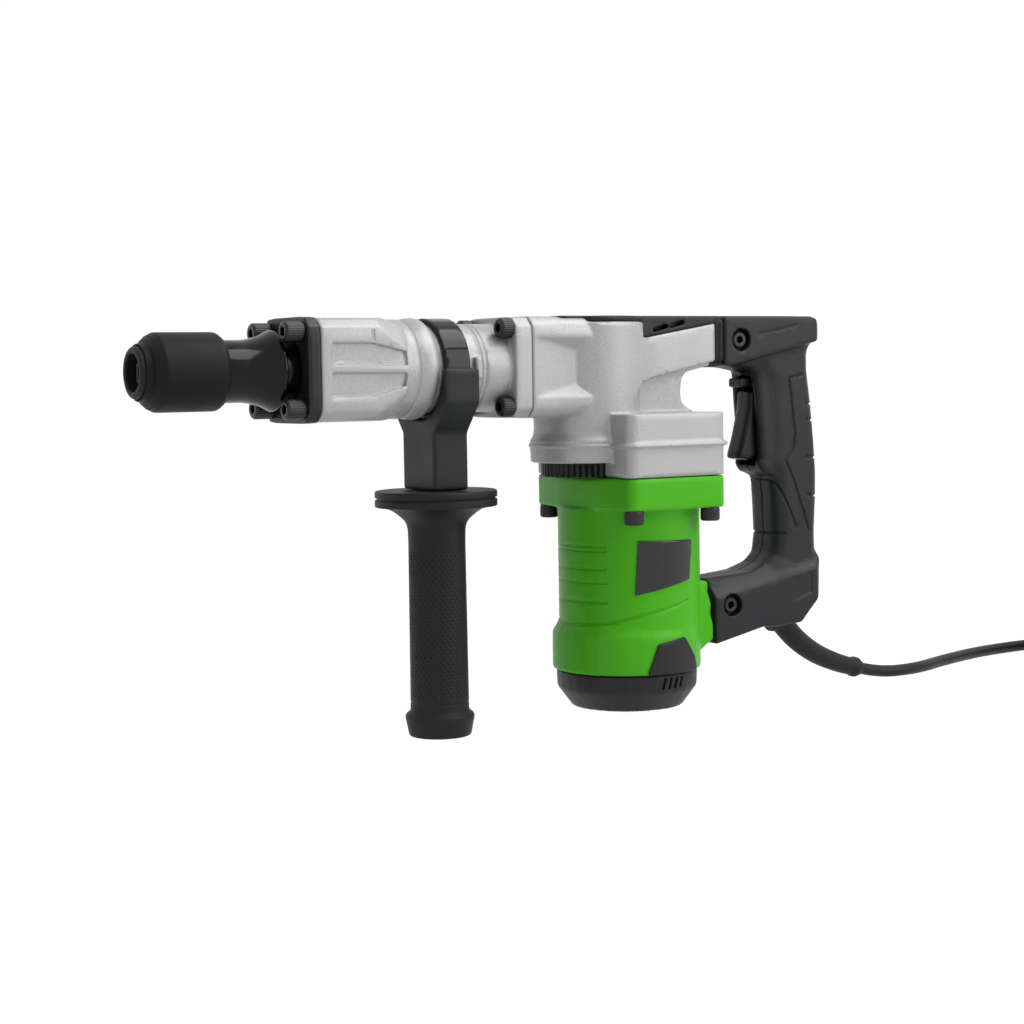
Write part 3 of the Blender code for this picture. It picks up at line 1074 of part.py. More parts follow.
def make_handle():
    px, pz = trigger_pivot()
    half = TRIGGER_HALF + CLEAR
    switch_x = px + SWITCH_BACK
    room_x = px - TRIGGER_ROOM_FRONT
    lock_z = pz + TRIGGER_HUB_R + CLEAR * 2
    lock_top = lock_z + LOCK_HEIGHT
    pocket = box((room_x, -half, pz - TRIGGER_ROOM), (switch_x - SINK, half, lock_z - CLEAR))
    lock_half = LOCK_HALF + CLEAR
    lock_end = switch_x - 2 * SINK
    lock_room = box((room_x, -lock_half, lock_z - CLEAR * 2), (lock_end, lock_half, lock_top + CLEAR))
    pin_reach = GRIP_HALF - HANDLE_WALL / 2
    pin_room = rod("Y", (px, pz), TRIGGER_PIN_R + CLEAR, -pin_reach - CLEAR, pin_reach + CLEAR)
    upper = (HANDLE_X + SCREW_X, COVER_TOP_Z - UPPER_SCREW_DROP)
    lower = (FOOT_X + SCREW_X, LUG_LOW_Z + LOWER_SCREW_RISE)
    head_y = -(ENDS_HALF - SCREW_RECESS)
    screw_end = ENDS_HALF - SCREW_RECESS
    head_room_r = SCREW_HEAD_R + CLEAR * 3
    screw_rooms = []
    for centre in (upper, lower):
        screw_rooms.append(rod("Y", centre, head_room_r, -ENDS_HALF - REACH, head_y, FINE_SIDES))
        screw_rooms.append(rod("Y", centre, SCREW_R + CLEAR, head_y - SINK, screw_end + CLEAR, BOLT_SIDES))
    guard_path = [(x, 0, z) for x, z in GUARD_ROUTE]
    guard_room = swept(guard_path[:4], [GUARD_START_R + CLEAR] * 4, GUARD_SIDES)
    for name, side in (("handle_left_shell", -1), ("handle_right_shell", 1)):
        piece(
            name, handle_shell(side), BLACK_PLASTIC,
            cut=[handle_cavity(side), pocket, lock_room, pin_room, *screw_rooms, guard_room],
        )
    for name, centre in (("handle_screw_upper", upper), ("handle_screw_lower", lower)):
        top_y, seat_y = head_y - SCREW_HEAD_LENGTH, head_y - CLEAR
        socket_y = top_y + SCREW_SOCKET_DEPTH
        profile = [
            (0, socket_y), (SCREW_SOCKET_R, socket_y), (SCREW_SOCKET_R, top_y), (SCREW_HEAD_R, top_y),
            (SCREW_HEAD_R, seat_y), (SCREW_R, seat_y), (SCREW_R, screw_end), (0, screw_end),
        ]
        piece(name, turned(profile, "Y", centre, FINE_SIDES), BLACK_STEEL)

    hole = rod("Y", (px, pz), TRIGGER_PIN_R + CLEAR, -half - REACH, half + REACH)
    outline = trigger_outline()[::-1]
    slim = inset(outline, TRIGGER_EDGE / 2)
    flank = TRIGGER_HALF - TRIGGER_EDGE
    depths = [(slim, -TRIGGER_HALF), (outline, -flank), (outline, flank), (slim, TRIGGER_HALF)]
    lever = lofted([[(x, y, z) for x, z in ring] for ring, y in depths])
    piece("trigger", lever, BLACK_PLASTIC, origin=(px, 0, pz), cut=[hole])
    piece("trigger_pin", rod("Y", (px, pz), TRIGGER_PIN_R, -pin_reach, pin_reach), BRIGHT_STEEL)
    lock_x = HANDLE_X + LOCK_FRONT
    lock = rounded_rectangle((lock_x, lock_z), (lock_x + LOCK_LENGTH, lock_top), LOCK_EDGE, 2)
    button = extruded(lock, "Y", -LOCK_HALF, LOCK_HALF)
    piece("lock_button", button, BLACK_PLASTIC, origin=(lock_x, 0, lock_z))
    low = Vector((switch_x, -SWITCH_HALF, pz - SWITCH_DROP))
    switch = box(low, low + Vector((SWITCH_DEPTH, 2 * SWITCH_HALF, SWITCH_HEIGHT)))
    piece("switch_body", switch, BLACK_PLASTIC)

    sections = []
    start, end = ARM_REAR_X + CLEAR, HANDLE_X - CLEAR
    pitch = (end - start) / (2 * BELLOWS_RIBS)
    for i in range(2 * BELLOWS_RIBS + 1):
        drawn = BELLOWS_GROOVE if i % 2 else 0
        low = (-BELLOWS_HALF + drawn, COVER_TOP_Z - 0.0310 + drawn)
        high = (BELLOWS_HALF - drawn, COVER_TOP_Z - 0.0005 - drawn)
        sections.append([place("X", p, start + pitch * i) for p in rounded_rectangle(low, high, 0.004, 3)])
    piece("handle_bellows", lofted(sections), BLACK_RUBBER)


# Side handle
def make_side_handle():
    axis = (SIDE_X, 0)
    pivot = (SIDE_X, 0, BARREL_Z)
    low, high = SIDE_X - BAND_WIDE / 2, SIDE_X + BAND_WIDE / 2
    hoop = [(BAND_OUTER_R, low), (BAND_OUTER_R, high), (BAND_R, high), (BAND_R, low)]
    piece("handle_clamp_band", turned(hoop, "X", BARREL), BLACK_STEEL, origin=pivot)

    seat_r = BAND_OUTER_R + CLEAR
    cheek = seat_r + YOKE_CHEEK
    shoulder_z, waist_z = BARREL_Z - YOKE_SHOULDER_DROP, BARREL_Z - YOKE_WAIST_DROP
    cradle = arc((0, BARREL_Z), seat_r, 360, 180, 24)
    outline = cradle + [
        (-cheek, BARREL_Z), (-cheek, shoulder_z), (-YOKE_FOOT_HALF, waist_z), (-YOKE_FOOT_HALF, YOKE_FOOT_Z),
        (YOKE_FOOT_HALF, YOKE_FOOT_Z), (YOKE_FOOT_HALF, waist_z), (cheek, shoulder_z), (cheek, BARREL_Z),
    ]
    rod_top = BARREL_Z - seat_r
    bore = rod("Z", axis, CLAMP_ROD_R + CLEAR, YOKE_FOOT_Z - REACH, rod_top + REACH, FINE_SIDES)
    yoke = extruded(outline, "X", SIDE_X - YOKE_WIDE / 2, SIDE_X + YOKE_WIDE / 2)
    piece("handle_yoke", yoke, BLACK_PLASTIC, origin=pivot, cut=[bore])
    stud = rod("Z", axis, CLAMP_ROD_R, CLAMP_ROD_BOTTOM_Z, rod_top, FINE_SIDES)
    piece("side_handle_bolt", stud, BRIGHT_STEEL, origin=pivot)

    disc_low = DISC_TOP_Z - DISC_THICK
    middle = DISC_TOP_Z - DISC_THICK / 2
    flare_end = disc_low - GRIP_FLARE
    flare = []
    for i in range(6):
        share = i / 5
        radius = GRIP_NECK_R + (FLARE_TOP_R - GRIP_NECK_R) * (1 - share) ** 3
        flare.append((radius, disc_low - GRIP_FLARE * share))
    bore_r = CLAMP_ROD_R + CLEAR
    bore_end = CLAMP_ROD_BOTTOM_Z - CLEAR
    knob_z = KNOB_FOOT_Z + KNOB_HEIGHT
    profile = [
        (bore_r, DISC_TOP_Z), (DISC_R, DISC_TOP_Z), (DISC_R, middle + DISC_GROOVE / 2),
        (DISC_R - DISC_GROOVE, middle + DISC_GROOVE / 2), (DISC_R - DISC_GROOVE, middle - DISC_GROOVE / 2),
        (DISC_R, middle - DISC_GROOVE / 2), (DISC_R, disc_low),
    ] + flare + [
        (SIDE_GRIP_R, flare_end - 0.003), (SIDE_GRIP_R, knob_z + 0.0025), (SIDE_GRIP_R - 0.0008, knob_z),
        (SIDE_GRIP_R, knob_z - 0.002), (KNOB_R, KNOB_FOOT_Z + 0.0045), (KNOB_R, KNOB_FOOT_Z + 0.002),
        (KNOB_FOOT_R, KNOB_FOOT_Z), (0, KNOB_FOOT_Z), (0, bore_end), (bore_r, bore_end),
    ]
    piece("side_handle_grip", turned(profile, "Z", axis), BLACK_RUBBER, origin=(SIDE_X, 0, DISC_TOP_Z))


# Cord
def smooth_curve(route, step):
    """Points every step or so along a smooth curve through a route's points."""
    route = [Vector(point) for point in route]
    ends = [route[0] * 2 - route[1]] + route + [route[-1] * 2 - route[-2]]
    fine = [route[0]]
    for i in range(1, len(ends) - 2):
        a, b, c, d = ends[i - 1:i + 3]
        for k in range(1, 9):
            t = k / 8
            bend = (a * 2 - b * 5 + c * 4 - d) * t ** 2 + (b * 3 - a - c * 3 + d) * t ** 3
            fine.append((b * 2 + (c - a) * t + bend) / 2)
    lengths = [0.0]
    for a, b in zip(fine, fine[1:]):
        lengths.append(lengths[-1] + (b - a).length)
    count = round(lengths[-1] / step)
    picked = [fine[0]]
    for i in range(1, count):
        wanted = lengths[-1] * i / count
        k = next(n for n, so_far in enumerate(lengths) if so_far >= wanted)
        share = (wanted - lengths[k - 1]) / (lengths[k] - lengths[k - 1])
        picked.append(fine[k - 1].lerp(fine[k], share))
    return picked + [fine[-1]]


def coil_point(turn):
    """The coil's middle line: in and out again, climbing a layer where the spiral turns back."""
    angle = COIL_START - 2 * math.pi * turn
    radius = COIL_R - COIL_PITCH * min(turn, COIL_TURNS - turn)
    climbed = min(max((turn - (COIL_TURNS - COIL_CLIMB) / 2) / COIL_CLIMB, 0), 1)
    across = (COIL_X + radius * math.cos(angle), COIL_Y + radius * math.sin(angle))
    return Vector((*across, COIL_Z + COIL_PITCH * climbed))


def coil_heading():
    """The level direction in which the cord meets the coil and leaves it."""
    return Vector((math.sin(COIL_START), -math.cos(COIL_START), 0))


def coil_path():
    heading = coil_heading()
    turns = [coil_point(i / COIL_POINTS) for i in range(COIL_TURNS * COIL_POINTS + 1)]
    first, last = turns[0], turns[-1]
    return [first - heading * COIL_LEAD] + turns + [last + heading * COIL_TAIL]


def least_gap(path):
    """The least clear distance between stretches of the cord that aren't neighbours."""
    least = 1.0
    for i, a in enumerate(path):
        for b in path[i + COIL_POINTS // 2:]:
            least = min(least, (a - b).length)
    return least - 2 * CORD_R


def tube(name, path, sides_level, look):
    """A cord as a bevelled curve."""
    curve = bpy.data.curves.new(name, "CURVE")
    curve.dimensions = "3D"
    curve.bevel_depth = CORD_R
    curve.bevel_resolution = sides_level
    curve.use_fill_caps = True
    spline = curve.splines.new("POLY")
    spline.points.add(len(path) - 1)
    for point, place_at in zip(spline.points, path):
        point.co = (*place_at, 1)
    curve.materials.append(look)
    bpy.context.scene.collection.objects.link(bpy.data.objects.new(name, curve))


def make_cord():
    count = len(GUARD_ROUTE) - 1
    radii = [GUARD_START_R + (GUARD_END_R - GUARD_START_R) * i / count for i in range(count + 1)]
    boot_path = [(x, 0, z) for x, z in GUARD_ROUTE]
    piece("cord_guard", swept(boot_path, radii, GUARD_SIDES), BLACK_RUBBER)

    boot_end, before = Vector(boot_path[-1]), Vector(boot_path[-2])
    start = boot_end + (boot_end - before).normalized() * CLEAR
    coil = coil_path()
    meet = coil[0] - coil_heading() * CLEAR
    route = [start] + [(x, y, LYING_Z + rise) for x, y, rise in CORD_ROUTE] + [meet]
    tube("power_cord", smooth_curve(route, CORD_STEP), 2, BLACK_RUBBER)
    tube("cord_coil", coil, 1, BLACK_RUBBER)
    print(f"cord_coil: least gap to itself {least_gap(coil) * 1000:.2f} mm")

    angle = COIL_START - 2 * math.pi * TIE_TURN
    outward = Vector((math.cos(angle), math.sin(angle), 0))
    along = Vector((-math.sin(angle), math.cos(angle), 0))
    inner_turn = COIL_R - COIL_PITCH * ((COIL_TURNS - COIL_CLIMB) // 2 + TIE_TURN)
    near, far = inner_turn - CORD_R - TIE_GAP, COIL_R - COIL_PITCH * TIE_TURN + CORD_R + TIE_GAP
    low, high = FLOOR_Z + TIE_THICK, PLUG_Z + CORD_R + TIE_GAP
    hole = rounded_rectangle((near, low), (far, high), 0.0012, 3)
    strap = rounded_rectangle((near - TIE_THICK, FLOOR_Z), (far + TIE_THICK, high + TIE_THICK), 0.002, 3)
    centre = Vector((COIL_X, COIL_Y, 0))

    def across(outline, shift):
        return [centre + outward * r + along * shift + Vector((0, 0, z)) for r, z in outline]

    half = TIE_WIDE / 2
    rings = [across(strap, -half), across(strap, half), across(hole, half), across(hole, -half)]
    points, faces = lofted(rings)
    count = len(strap)
    faces = faces[2:]
    for i in range(count):
        j = (i + 1) % count
        faces.append((3 * count + i, 3 * count + j, j, i))
    piece("cord_tie", (points, faces), BLACK_PLASTIC)
    make_plug(coil[-1])


def make_plug(cord_end):
    heading = coil_heading()
    aside = Vector((0, 0, 1)).cross(heading)
    start = cord_end + heading * CLEAR

    def section(along, half_wide, half_high, corner):
        outline = rounded_rectangle((-half_wide, -half_high), (half_wide, half_high), corner)
        return [start + heading * along + aside * u + Vector((0, 0, v)) for u, v in outline]

    half_high = PLUG_Z - FLOOR_Z
    rings = [
        section(0, PLUG_NECK, PLUG_NECK, PLUG_NECK * 0.9),
        section(PLUG_LENGTH * 0.3, PLUG_NECK * 1.2, PLUG_NECK * 1.2, PLUG_NECK),
        section(PLUG_LENGTH * 0.6, PLUG_HALF * 0.9, half_high * 0.9, PLUG_NECK),
        section(PLUG_LENGTH * 0.75, PLUG_HALF, half_high, PLUG_NECK),
        section(PLUG_LENGTH, PLUG_HALF, half_high, PLUG_NECK),
    ]
    pins = []
    for side in (-1, 1):
        middle = start + aside * (side * PLUG_PIN_HALF_SPACING)
        ends = [middle + heading * (PLUG_LENGTH - SINK), middle + heading * (PLUG_LENGTH + PLUG_PIN_LENGTH)]
        pins.append(swept(ends, [PLUG_PIN_R] * 2, BOLT_SIDES))
    piece("plug", lofted(rings), BLACK_RUBBER, add=[joined(pins)])


make_chisel_end()
make_barrel()
make_mechanism()
make_gear_case()
make_motor()
make_handle()
make_side_handle()
make_cord()
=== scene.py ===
import json
import math

import bmesh
import bpy
import numpy as np
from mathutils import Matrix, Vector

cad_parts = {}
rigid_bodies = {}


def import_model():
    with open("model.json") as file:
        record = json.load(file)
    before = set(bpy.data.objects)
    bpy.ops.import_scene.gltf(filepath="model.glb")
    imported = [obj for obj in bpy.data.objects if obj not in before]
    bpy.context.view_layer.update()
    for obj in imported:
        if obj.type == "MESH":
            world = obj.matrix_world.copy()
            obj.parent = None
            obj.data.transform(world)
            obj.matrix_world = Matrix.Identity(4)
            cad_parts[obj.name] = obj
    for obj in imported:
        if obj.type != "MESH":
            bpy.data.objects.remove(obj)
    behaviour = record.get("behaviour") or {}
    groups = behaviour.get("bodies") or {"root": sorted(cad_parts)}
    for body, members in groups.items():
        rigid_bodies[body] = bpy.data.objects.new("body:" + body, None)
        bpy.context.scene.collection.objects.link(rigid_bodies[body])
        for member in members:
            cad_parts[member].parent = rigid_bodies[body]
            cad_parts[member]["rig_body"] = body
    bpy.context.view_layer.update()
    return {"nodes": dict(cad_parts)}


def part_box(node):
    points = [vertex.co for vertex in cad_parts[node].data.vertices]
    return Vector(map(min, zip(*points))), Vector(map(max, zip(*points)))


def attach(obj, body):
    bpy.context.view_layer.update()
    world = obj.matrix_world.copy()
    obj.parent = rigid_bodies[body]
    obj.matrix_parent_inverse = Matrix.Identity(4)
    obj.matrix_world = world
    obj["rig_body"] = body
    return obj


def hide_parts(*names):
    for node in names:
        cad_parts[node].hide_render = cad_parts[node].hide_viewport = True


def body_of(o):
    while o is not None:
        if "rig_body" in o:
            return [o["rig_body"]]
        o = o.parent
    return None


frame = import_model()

import openvdb
from mathutils import Matrix, Vector

MM = 0.001

# Places, in millimetres
BARREL_Z = 212.6
MOTOR_X = 1.2
CAP_X = -1.5
CRANK_X = -27.5
SIDE_X = -137.0
FLOOR_Z = -5.7

# Radii of the motor casing, its badge, the foot cap and the cap's ear, in millimetres
CASING_R = 44.6
BADGE_R = 44.9
CAP_R = 44.0
EAR_R = 47.3

# Edges of turned pieces sharper than this stay sharp, in degrees
SHARP_EDGE = 38
# How far a flat stretch of a casting's mesh may be thinned out
MESH_DETAIL = 0.08


# Distances on a grid

def soft_max(a, b, soft):
    top = np.maximum(a, b)
    if soft <= 0:
        return top
    near = np.maximum(soft - np.abs(a - b), 0) / soft
    return top + near * near * soft / 4


def along(points):
    """How far a place on a flat sheet is from a line of points."""
    def gap(u, v):
        best = None
        for (a, b), (c, d) in zip(points, points[1:]):
            e, f = c - a, d - b
            t = np.clip(((u - a) * e + (v - b) * f) / (e * e + f * f), 0, 1)
            here = np.hypot(u - a - t * e, v - b - t * f)
            best = here if best is None else np.minimum(best, here)
        return best
    return gap


def within(points):
    """Signed distance to a closed outline on a flat sheet, less than nought inside."""
    loop = points + points[:1]

    def gap(u, v):
        far = along(loop)(u, v)
        inside = np.zeros(far.shape, bool)
        for (a, b), (c, d) in zip(loop, loop[1:]):
            if b != d:
                inside ^= ((b > v) != (d > v)) & (u < (c - a) * (v - b) / (d - b) + a)
        return np.where(inside, -far, far)
    return gap


class Clay:
    """A solid held as distances, in millimetres, on a grid of cells."""

    def __init__(self, nodes, cell, low=None, high=None):
        self.cell = cell
        grids = [self.scan(bpy.data.objects[node].data) for node in nodes]
        if grids:
            ends = np.array([grid.evalActiveVoxelBoundingBox() for grid in grids])
            first, last = ends[:, 0].min(axis=0), ends[:, 1].max(axis=0)
        else:
            first = np.floor(np.array(low) / cell).astype(int) - 4
            last = np.ceil(np.array(high) / cell).astype(int) + 4
        self.first = tuple(int(i) for i in first)
        self.d = np.full(last - first + 1, 6 * cell, np.float32)
        for grid in grids:
            one = np.empty_like(self.d)
            grid.copyToArray(one, ijk=self.first)
            self.d = np.minimum(self.d, one)
        x, y, z = (np.arange(a, b + 1, dtype=np.float32) * cell for a, b in zip(first, last))
        self.x, self.y, self.z = x[:, None, None], y[None, :, None], z[None, None, :]

    def scan(self, mesh):
        mesh.calc_loop_triangles()
        spots = np.empty(len(mesh.vertices) * 3, np.float32)
        mesh.vertices.foreach_get("co", spots)
        corners = np.empty(len(mesh.loop_triangles) * 3, np.int32)
        mesh.loop_triangles.foreach_get("vertices", corners)
        return openvdb.FloatGrid.createLevelSetFromPolygons(
            spots.reshape(-1, 3) / MM, triangles=corners.reshape(-1, 3),
            transform=openvdb.createLinearTransform(self.cell), halfWidth=6)

    def add(self, gap, soft=0.0):
        self.d = -soft_max(-self.d, -gap, soft)

    def cut(self, gap, soft=0.0):
        self.d = soft_max(self.d, -gap, soft)

    def engrave(self, gap, depth, soft=0.5):
        self.d = soft_max(self.d, np.minimum(-gap, self.d + depth), soft)

    def emboss(self, gap, height, soft=0.5):
        self.d = -soft_max(-self.d, np.minimum(-gap, height - self.d), soft)

    def soften(self, size):
        """Rounds every edge, inside and outside, by about this many millimetres."""
        for _ in range(max(1, round(2 * (size / self.cell) ** 2))):
            for axis in range(3):
                d = np.moveaxis(self.d, axis, 0)
                d[1:-1] = 0.25 * d[:-2] + 0.5 * d[1:-1] + 0.25 * d[2:]

    def brick(self, low, high, edge=0.0):
        gaps = []
        for spots, a, b in zip((self.x, self.y, self.z), low, high):
            gaps.append(np.abs(spots - (a + b) / 2) - (b - a) / 2 + edge)
        out = np.sqrt(sum(np.maximum(gap, 0) ** 2 for gap in gaps))
        deep = np.maximum(np.maximum(gaps[0], gaps[1]), gaps[2])
        return out + np.minimum(deep, 0) - edge

    def span(self, spots, low, high):
        return np.abs(spots - (low + high) / 2) - (high - low) / 2

    def round_z(self, x, y, radius):
        return np.hypot(self.x - x, self.y - y) - radius

    def round_x(self, y, z, radius):
        return np.hypot(self.y - y, self.z - z) - radius

    def unrolled(self, x, radius):
        """Distance round an upright cylinder, from its +X side, in millimetres."""
        return np.arctan2(-self.y, -(self.x - x)) * radius + math.pi * radius

    def sample(self, spots):
        grid = spots / self.cell - np.array(self.first)
        base = np.clip(np.floor(grid).astype(int), 0, np.array(self.d.shape) - 2)
        part = grid - base
        total = 0
        for corner in range(8):
            step = np.array([corner & 1, corner >> 1 & 1, corner >> 2])
            weight = np.prod(np.where(step, part, 1 - part), axis=1)
            i, j, k = (base + step).T
            total = total + weight * self.d[i, j, k]
        return total

    def mesh(self, name):
        grid = openvdb.FloatGrid(6 * self.cell)
        grid.transform = openvdb.createLinearTransform(self.cell)
        grid.copyFromArray(self.d, ijk=self.first)
        grid.gridClass = openvdb.GridClass.LEVEL_SET
        spots, triangles, quads = grid.convertToPolygons(0.0, MESH_DETAIL)
        spots = np.asarray(spots, np.float64)
        slope = np.empty_like(spots)
        for axis in range(3):
            step = np.zeros(3)
            step[axis] = 0.75 * self.cell
            slope[:, axis] = self.sample(spots + step) - self.sample(spots - step)
        slope /= np.maximum(np.linalg.norm(slope, axis=1), 1e-9)[:, None]
        faces = [tuple(int(i) for i in face) for face in list(triangles) + list(quads)]
        a, b, c = (spots[[face[i] for face in faces]] for i in range(3))
        facing = np.einsum("ij,ij->i", np.cross(b - a, c - a), slope[[face[0] for face in faces]])
        if np.sum(facing) < 0:
            faces = [face[::-1] for face in faces]
        mesh = bpy.data.meshes.new(name)
        mesh.from_pydata((spots * MM).tolist(), [], faces)
        mesh.shade_smooth()
        mesh.normals_split_custom_set_from_vertices(slope.tolist())
        return mesh


# Turned and swept shapes

def fillet(points, closed=False, steps=5):
    """Rounds the corners of an outline: each point is (along, radius) or (along, radius, round)."""
    result = []
    for i, point in enumerate(points):
        here = Vector(point[:2])
        size = point[2] if len(point) > 2 else 0
        if not size or (not closed and i in (0, len(points) - 1)):
            result.append(tuple(here))
            continue
        before = (Vector(points[i - 1][:2]) - here)
        after = (Vector(points[(i + 1) % len(points)][:2]) - here)
        size = min(size, before.length * 0.49, after.length * 0.49)
        a, b = here + before.normalized() * size, here + after.normalized() * size
        for s in range(steps + 1):
            t = s / steps
            result.append(tuple(a * (1 - t) ** 2 + here * 2 * t * (1 - t) + b * t * t))
    return result


def hexagon(theta):
    return 1 / np.cos((theta + math.pi / 6) % (math.pi / 3) - math.pi / 6)


def plain(theta):
    return np.ones_like(theta)


def ridged(count, deep):
    def form(theta):
        return 1 - deep * (0.5 + 0.5 * np.cos(theta * count)) ** 2
    return form


def turned(name, rings, axis, origin, turns=96, closed=False):
    """A mesh of rings round an axis: each ring is (along, radius) or (along, radius, form)."""
    theta = np.arange(turns) * 2 * math.pi / turns
    spots, faces = [], []
    for ring in rings:
        radius = ring[1] * (ring[2] if len(ring) > 2 else plain)(theta)
        flat = np.stack([radius * np.cos(theta), radius * np.sin(theta), np.full(turns, ring[0])], 1)
        spots.append(flat)
    spots = np.concatenate(spots)
    if axis == "x":
        spots = spots[:, [2, 0, 1]]
    spots = (spots + np.array(origin)) * MM
    count = len(rings)
    for i in range(count if closed else count - 1):
        a, b = i * turns, (i + 1) % count * turns
        for j in range(turns):
            k = (j + 1) % turns
            faces.append((a + j, a + k, b + k, b + j))
    return tidy(name, spots.tolist(), faces)


def tidy(name, spots, faces):
    """A mesh with its doubled points joined, its faces turned outward and smooth between sharp edges."""
    mesh = bpy.data.meshes.new(name)
    mesh.from_pydata(spots, [], faces)
    work = bmesh.new()
    work.from_mesh(mesh)
    bmesh.ops.remove_doubles(work, verts=work.verts, dist=1e-6)
    bmesh.ops.dissolve_degenerate(work, dist=1e-7, edges=work.edges)
    bmesh.ops.recalc_face_normals(work, faces=work.faces)
    work.to_mesh(mesh)
    work.free()
    mesh.shade_smooth()
    mesh.set_sharp_from_angle(angle=math.radians(SHARP_EDGE))
    return mesh


def smooth_curve(points, step):
    """Points a step apart on a smooth curve through the given points."""
    spots = [Vector(p) for p in points]
    spots = [spots[0] * 2 - spots[1]] + spots + [spots[-1] * 2 - spots[-2]]
    result = []
    for a, b, c, d in zip(spots, spots[1:], spots[2:], spots[3:]):
        count = max(1, round((c - b).length / step))
        for i in range(count):
            t = i / count
            result.append(0.5 * (2 * b + (c - a) * t + (2 * a - 5 * b + 4 * c - d) * t * t
                                 + (3 * b - a - 3 * c + d) * t ** 3))
    return result + [spots[-2]]


def swept(name, path, radii, turns=40):
    """A round bar along a path, with a radius at each point."""
    spots, faces = [], []
    side = Vector((0, 1, 0))
    for i, (here, radius) in enumerate(zip(path, radii)):
        ahead = (path[min(i + 1, len(path) - 1)] - path[max(i - 1, 0)]).normalized()
        up = ahead.cross(side).normalized()
        for j in range(turns):
            angle = 2 * math.pi * j / turns
            spots.append(here + (side * math.cos(angle) + up * math.sin(angle)) * radius)
    for i in range(len(path) - 1):
        for j in range(turns):
            k = (j + 1) % turns
            faces.append((i * turns + j, i * turns + k, (i + 1) * turns + k, (i + 1) * turns + j))
    faces.append(tuple(range(turns)))
    faces.append(tuple(range((len(path) - 1) * turns, len(path) * turns)))
    return tidy(name, [tuple(s) for s in spots], faces)


# Materials

class Nodes:
    """A short way to write the nodes of one material."""

    def __init__(self, name):
        self.material = bpy.data.materials.new(name)
        self.material.use_nodes = True
        self.tree = self.material.node_tree
        self.shader = self.tree.nodes["Principled BSDF"]
        self.place = self.tree.nodes.new("ShaderNodeTexCoord").outputs["Object"]

    def link(self, output, node, socket):
        self.tree.links.new(output, node.inputs[socket])

    def noise(self, size, detail=3.0, rough=0.55):
        node = self.tree.nodes.new("ShaderNodeTexNoise")
        node.inputs["Scale"].default_value = 1 / (size * MM)
        node.inputs["Detail"].default_value = detail
        node.inputs["Roughness"].default_value = rough
        self.link(self.place, node, "Vector")
        return node.outputs["Fac"]

    def cells(self, size):
        node = self.tree.nodes.new("ShaderNodeTexVoronoi")
        node.inputs["Scale"].default_value = 1 / (size * MM)
        self.link(self.place, node, "Vector")
        return node.outputs["Distance"]

    def remap(self, value, low, high, start=0.0, end=1.0):
        node = self.tree.nodes.new("ShaderNodeMapRange")
        for socket, number in zip(("From Min", "From Max", "To Min", "To Max"), (start, end, low, high)):
            node.inputs[socket].default_value = number
        self.link(value, node, "Value")
        return node.outputs["Result"]

    def mix(self, amount, a, b):
        node = self.tree.nodes.new("ShaderNodeMix")
        node.data_type = "RGBA"
        self.link(amount, node, "Factor")
        for socket, colour in ((node.inputs[6], a), (node.inputs[7], b)):
            if isinstance(colour, tuple):
                socket.default_value = (*colour, 1)
            else:
                self.tree.links.new(colour, socket)
        return node.outputs[2]

    def worn_edges(self):
        node = self.tree.nodes.new("ShaderNodeNewGeometry")
        return self.remap(node.outputs["Pointiness"], 0.0, 1.0, 0.53, 0.62)

    def bump(self, height, deep, strength=1.0):
        node = self.tree.nodes.new("ShaderNodeBump")
        node.inputs["Strength"].default_value = strength
        node.inputs["Distance"].default_value = deep * MM
        self.link(height, node, "Height")
        self.link(node.outputs["Normal"], self.shader, "Normal")


def shade(colour, factor):
    return tuple(min(1.0, c * factor) for c in colour)


def finish(name, colour, rough, metal=0.0, grain=0.6, tint=0.12, deep=0.03, rough_span=0.12, wear=0.0,
           specular=0.5):
    """A painted, moulded or machined surface: grain, slow changes of tone, and paler edges."""
    nodes = Nodes(name)
    fine = nodes.noise(grain)
    slow = nodes.noise(28.0, 2.0)
    tone = nodes.mix(nodes.remap(fine, 0, 1, 0.3, 0.7), shade(colour, 1 - tint), shade(colour, 1 + tint))
    tone = nodes.mix(nodes.remap(slow, 0, 0.35, 0.3, 0.7), tone, shade(colour, 1 - 0.6 * tint))
    if wear:
        tone = nodes.mix(nodes.remap(nodes.worn_edges(), 0, wear), tone, shade(colour, 1.9))
    nodes.link(tone, nodes.shader, "Base Color")
    gloss = nodes.remap(slow, rough - rough_span / 2, rough + rough_span / 2, 0.3, 0.7)
    nodes.link(gloss, nodes.shader, "Roughness")
    nodes.shader.inputs["Metallic"].default_value = metal
    nodes.shader.inputs["Specular IOR Level"].default_value = specular
    nodes.bump(fine, deep)
    return nodes.material


def silver_paint():
    """Cast metal under silver paint: small bright flakes in a grey coat."""
    nodes = Nodes("silver_casting_paint")
    flake = nodes.cells(0.55)
    fine = nodes.noise(0.5, 4.0, 0.7)
    slow = nodes.noise(22.0, 2.0)
    tone = nodes.mix(nodes.remap(fine, 0, 1, 0.32, 0.68), (0.28, 0.28, 0.285), (0.56, 0.56, 0.57))
    tone = nodes.mix(nodes.remap(flake, 0.6, 0, 0.0, 0.25), tone, (0.80, 0.80, 0.815))
    tone = nodes.mix(nodes.remap(slow, 0, 0.25, 0.3, 0.7), tone, (0.36, 0.36, 0.37))
    nodes.link(tone, nodes.shader, "Base Color")
    nodes.link(nodes.remap(fine, 0.30, 0.52, 0.3, 0.7), nodes.shader, "Roughness")
    nodes.shader.inputs["Metallic"].default_value = 0.2
    nodes.shader.inputs["Specular IOR Level"].default_value = 0.4
    nodes.bump(fine, 0.05)
    return nodes.material


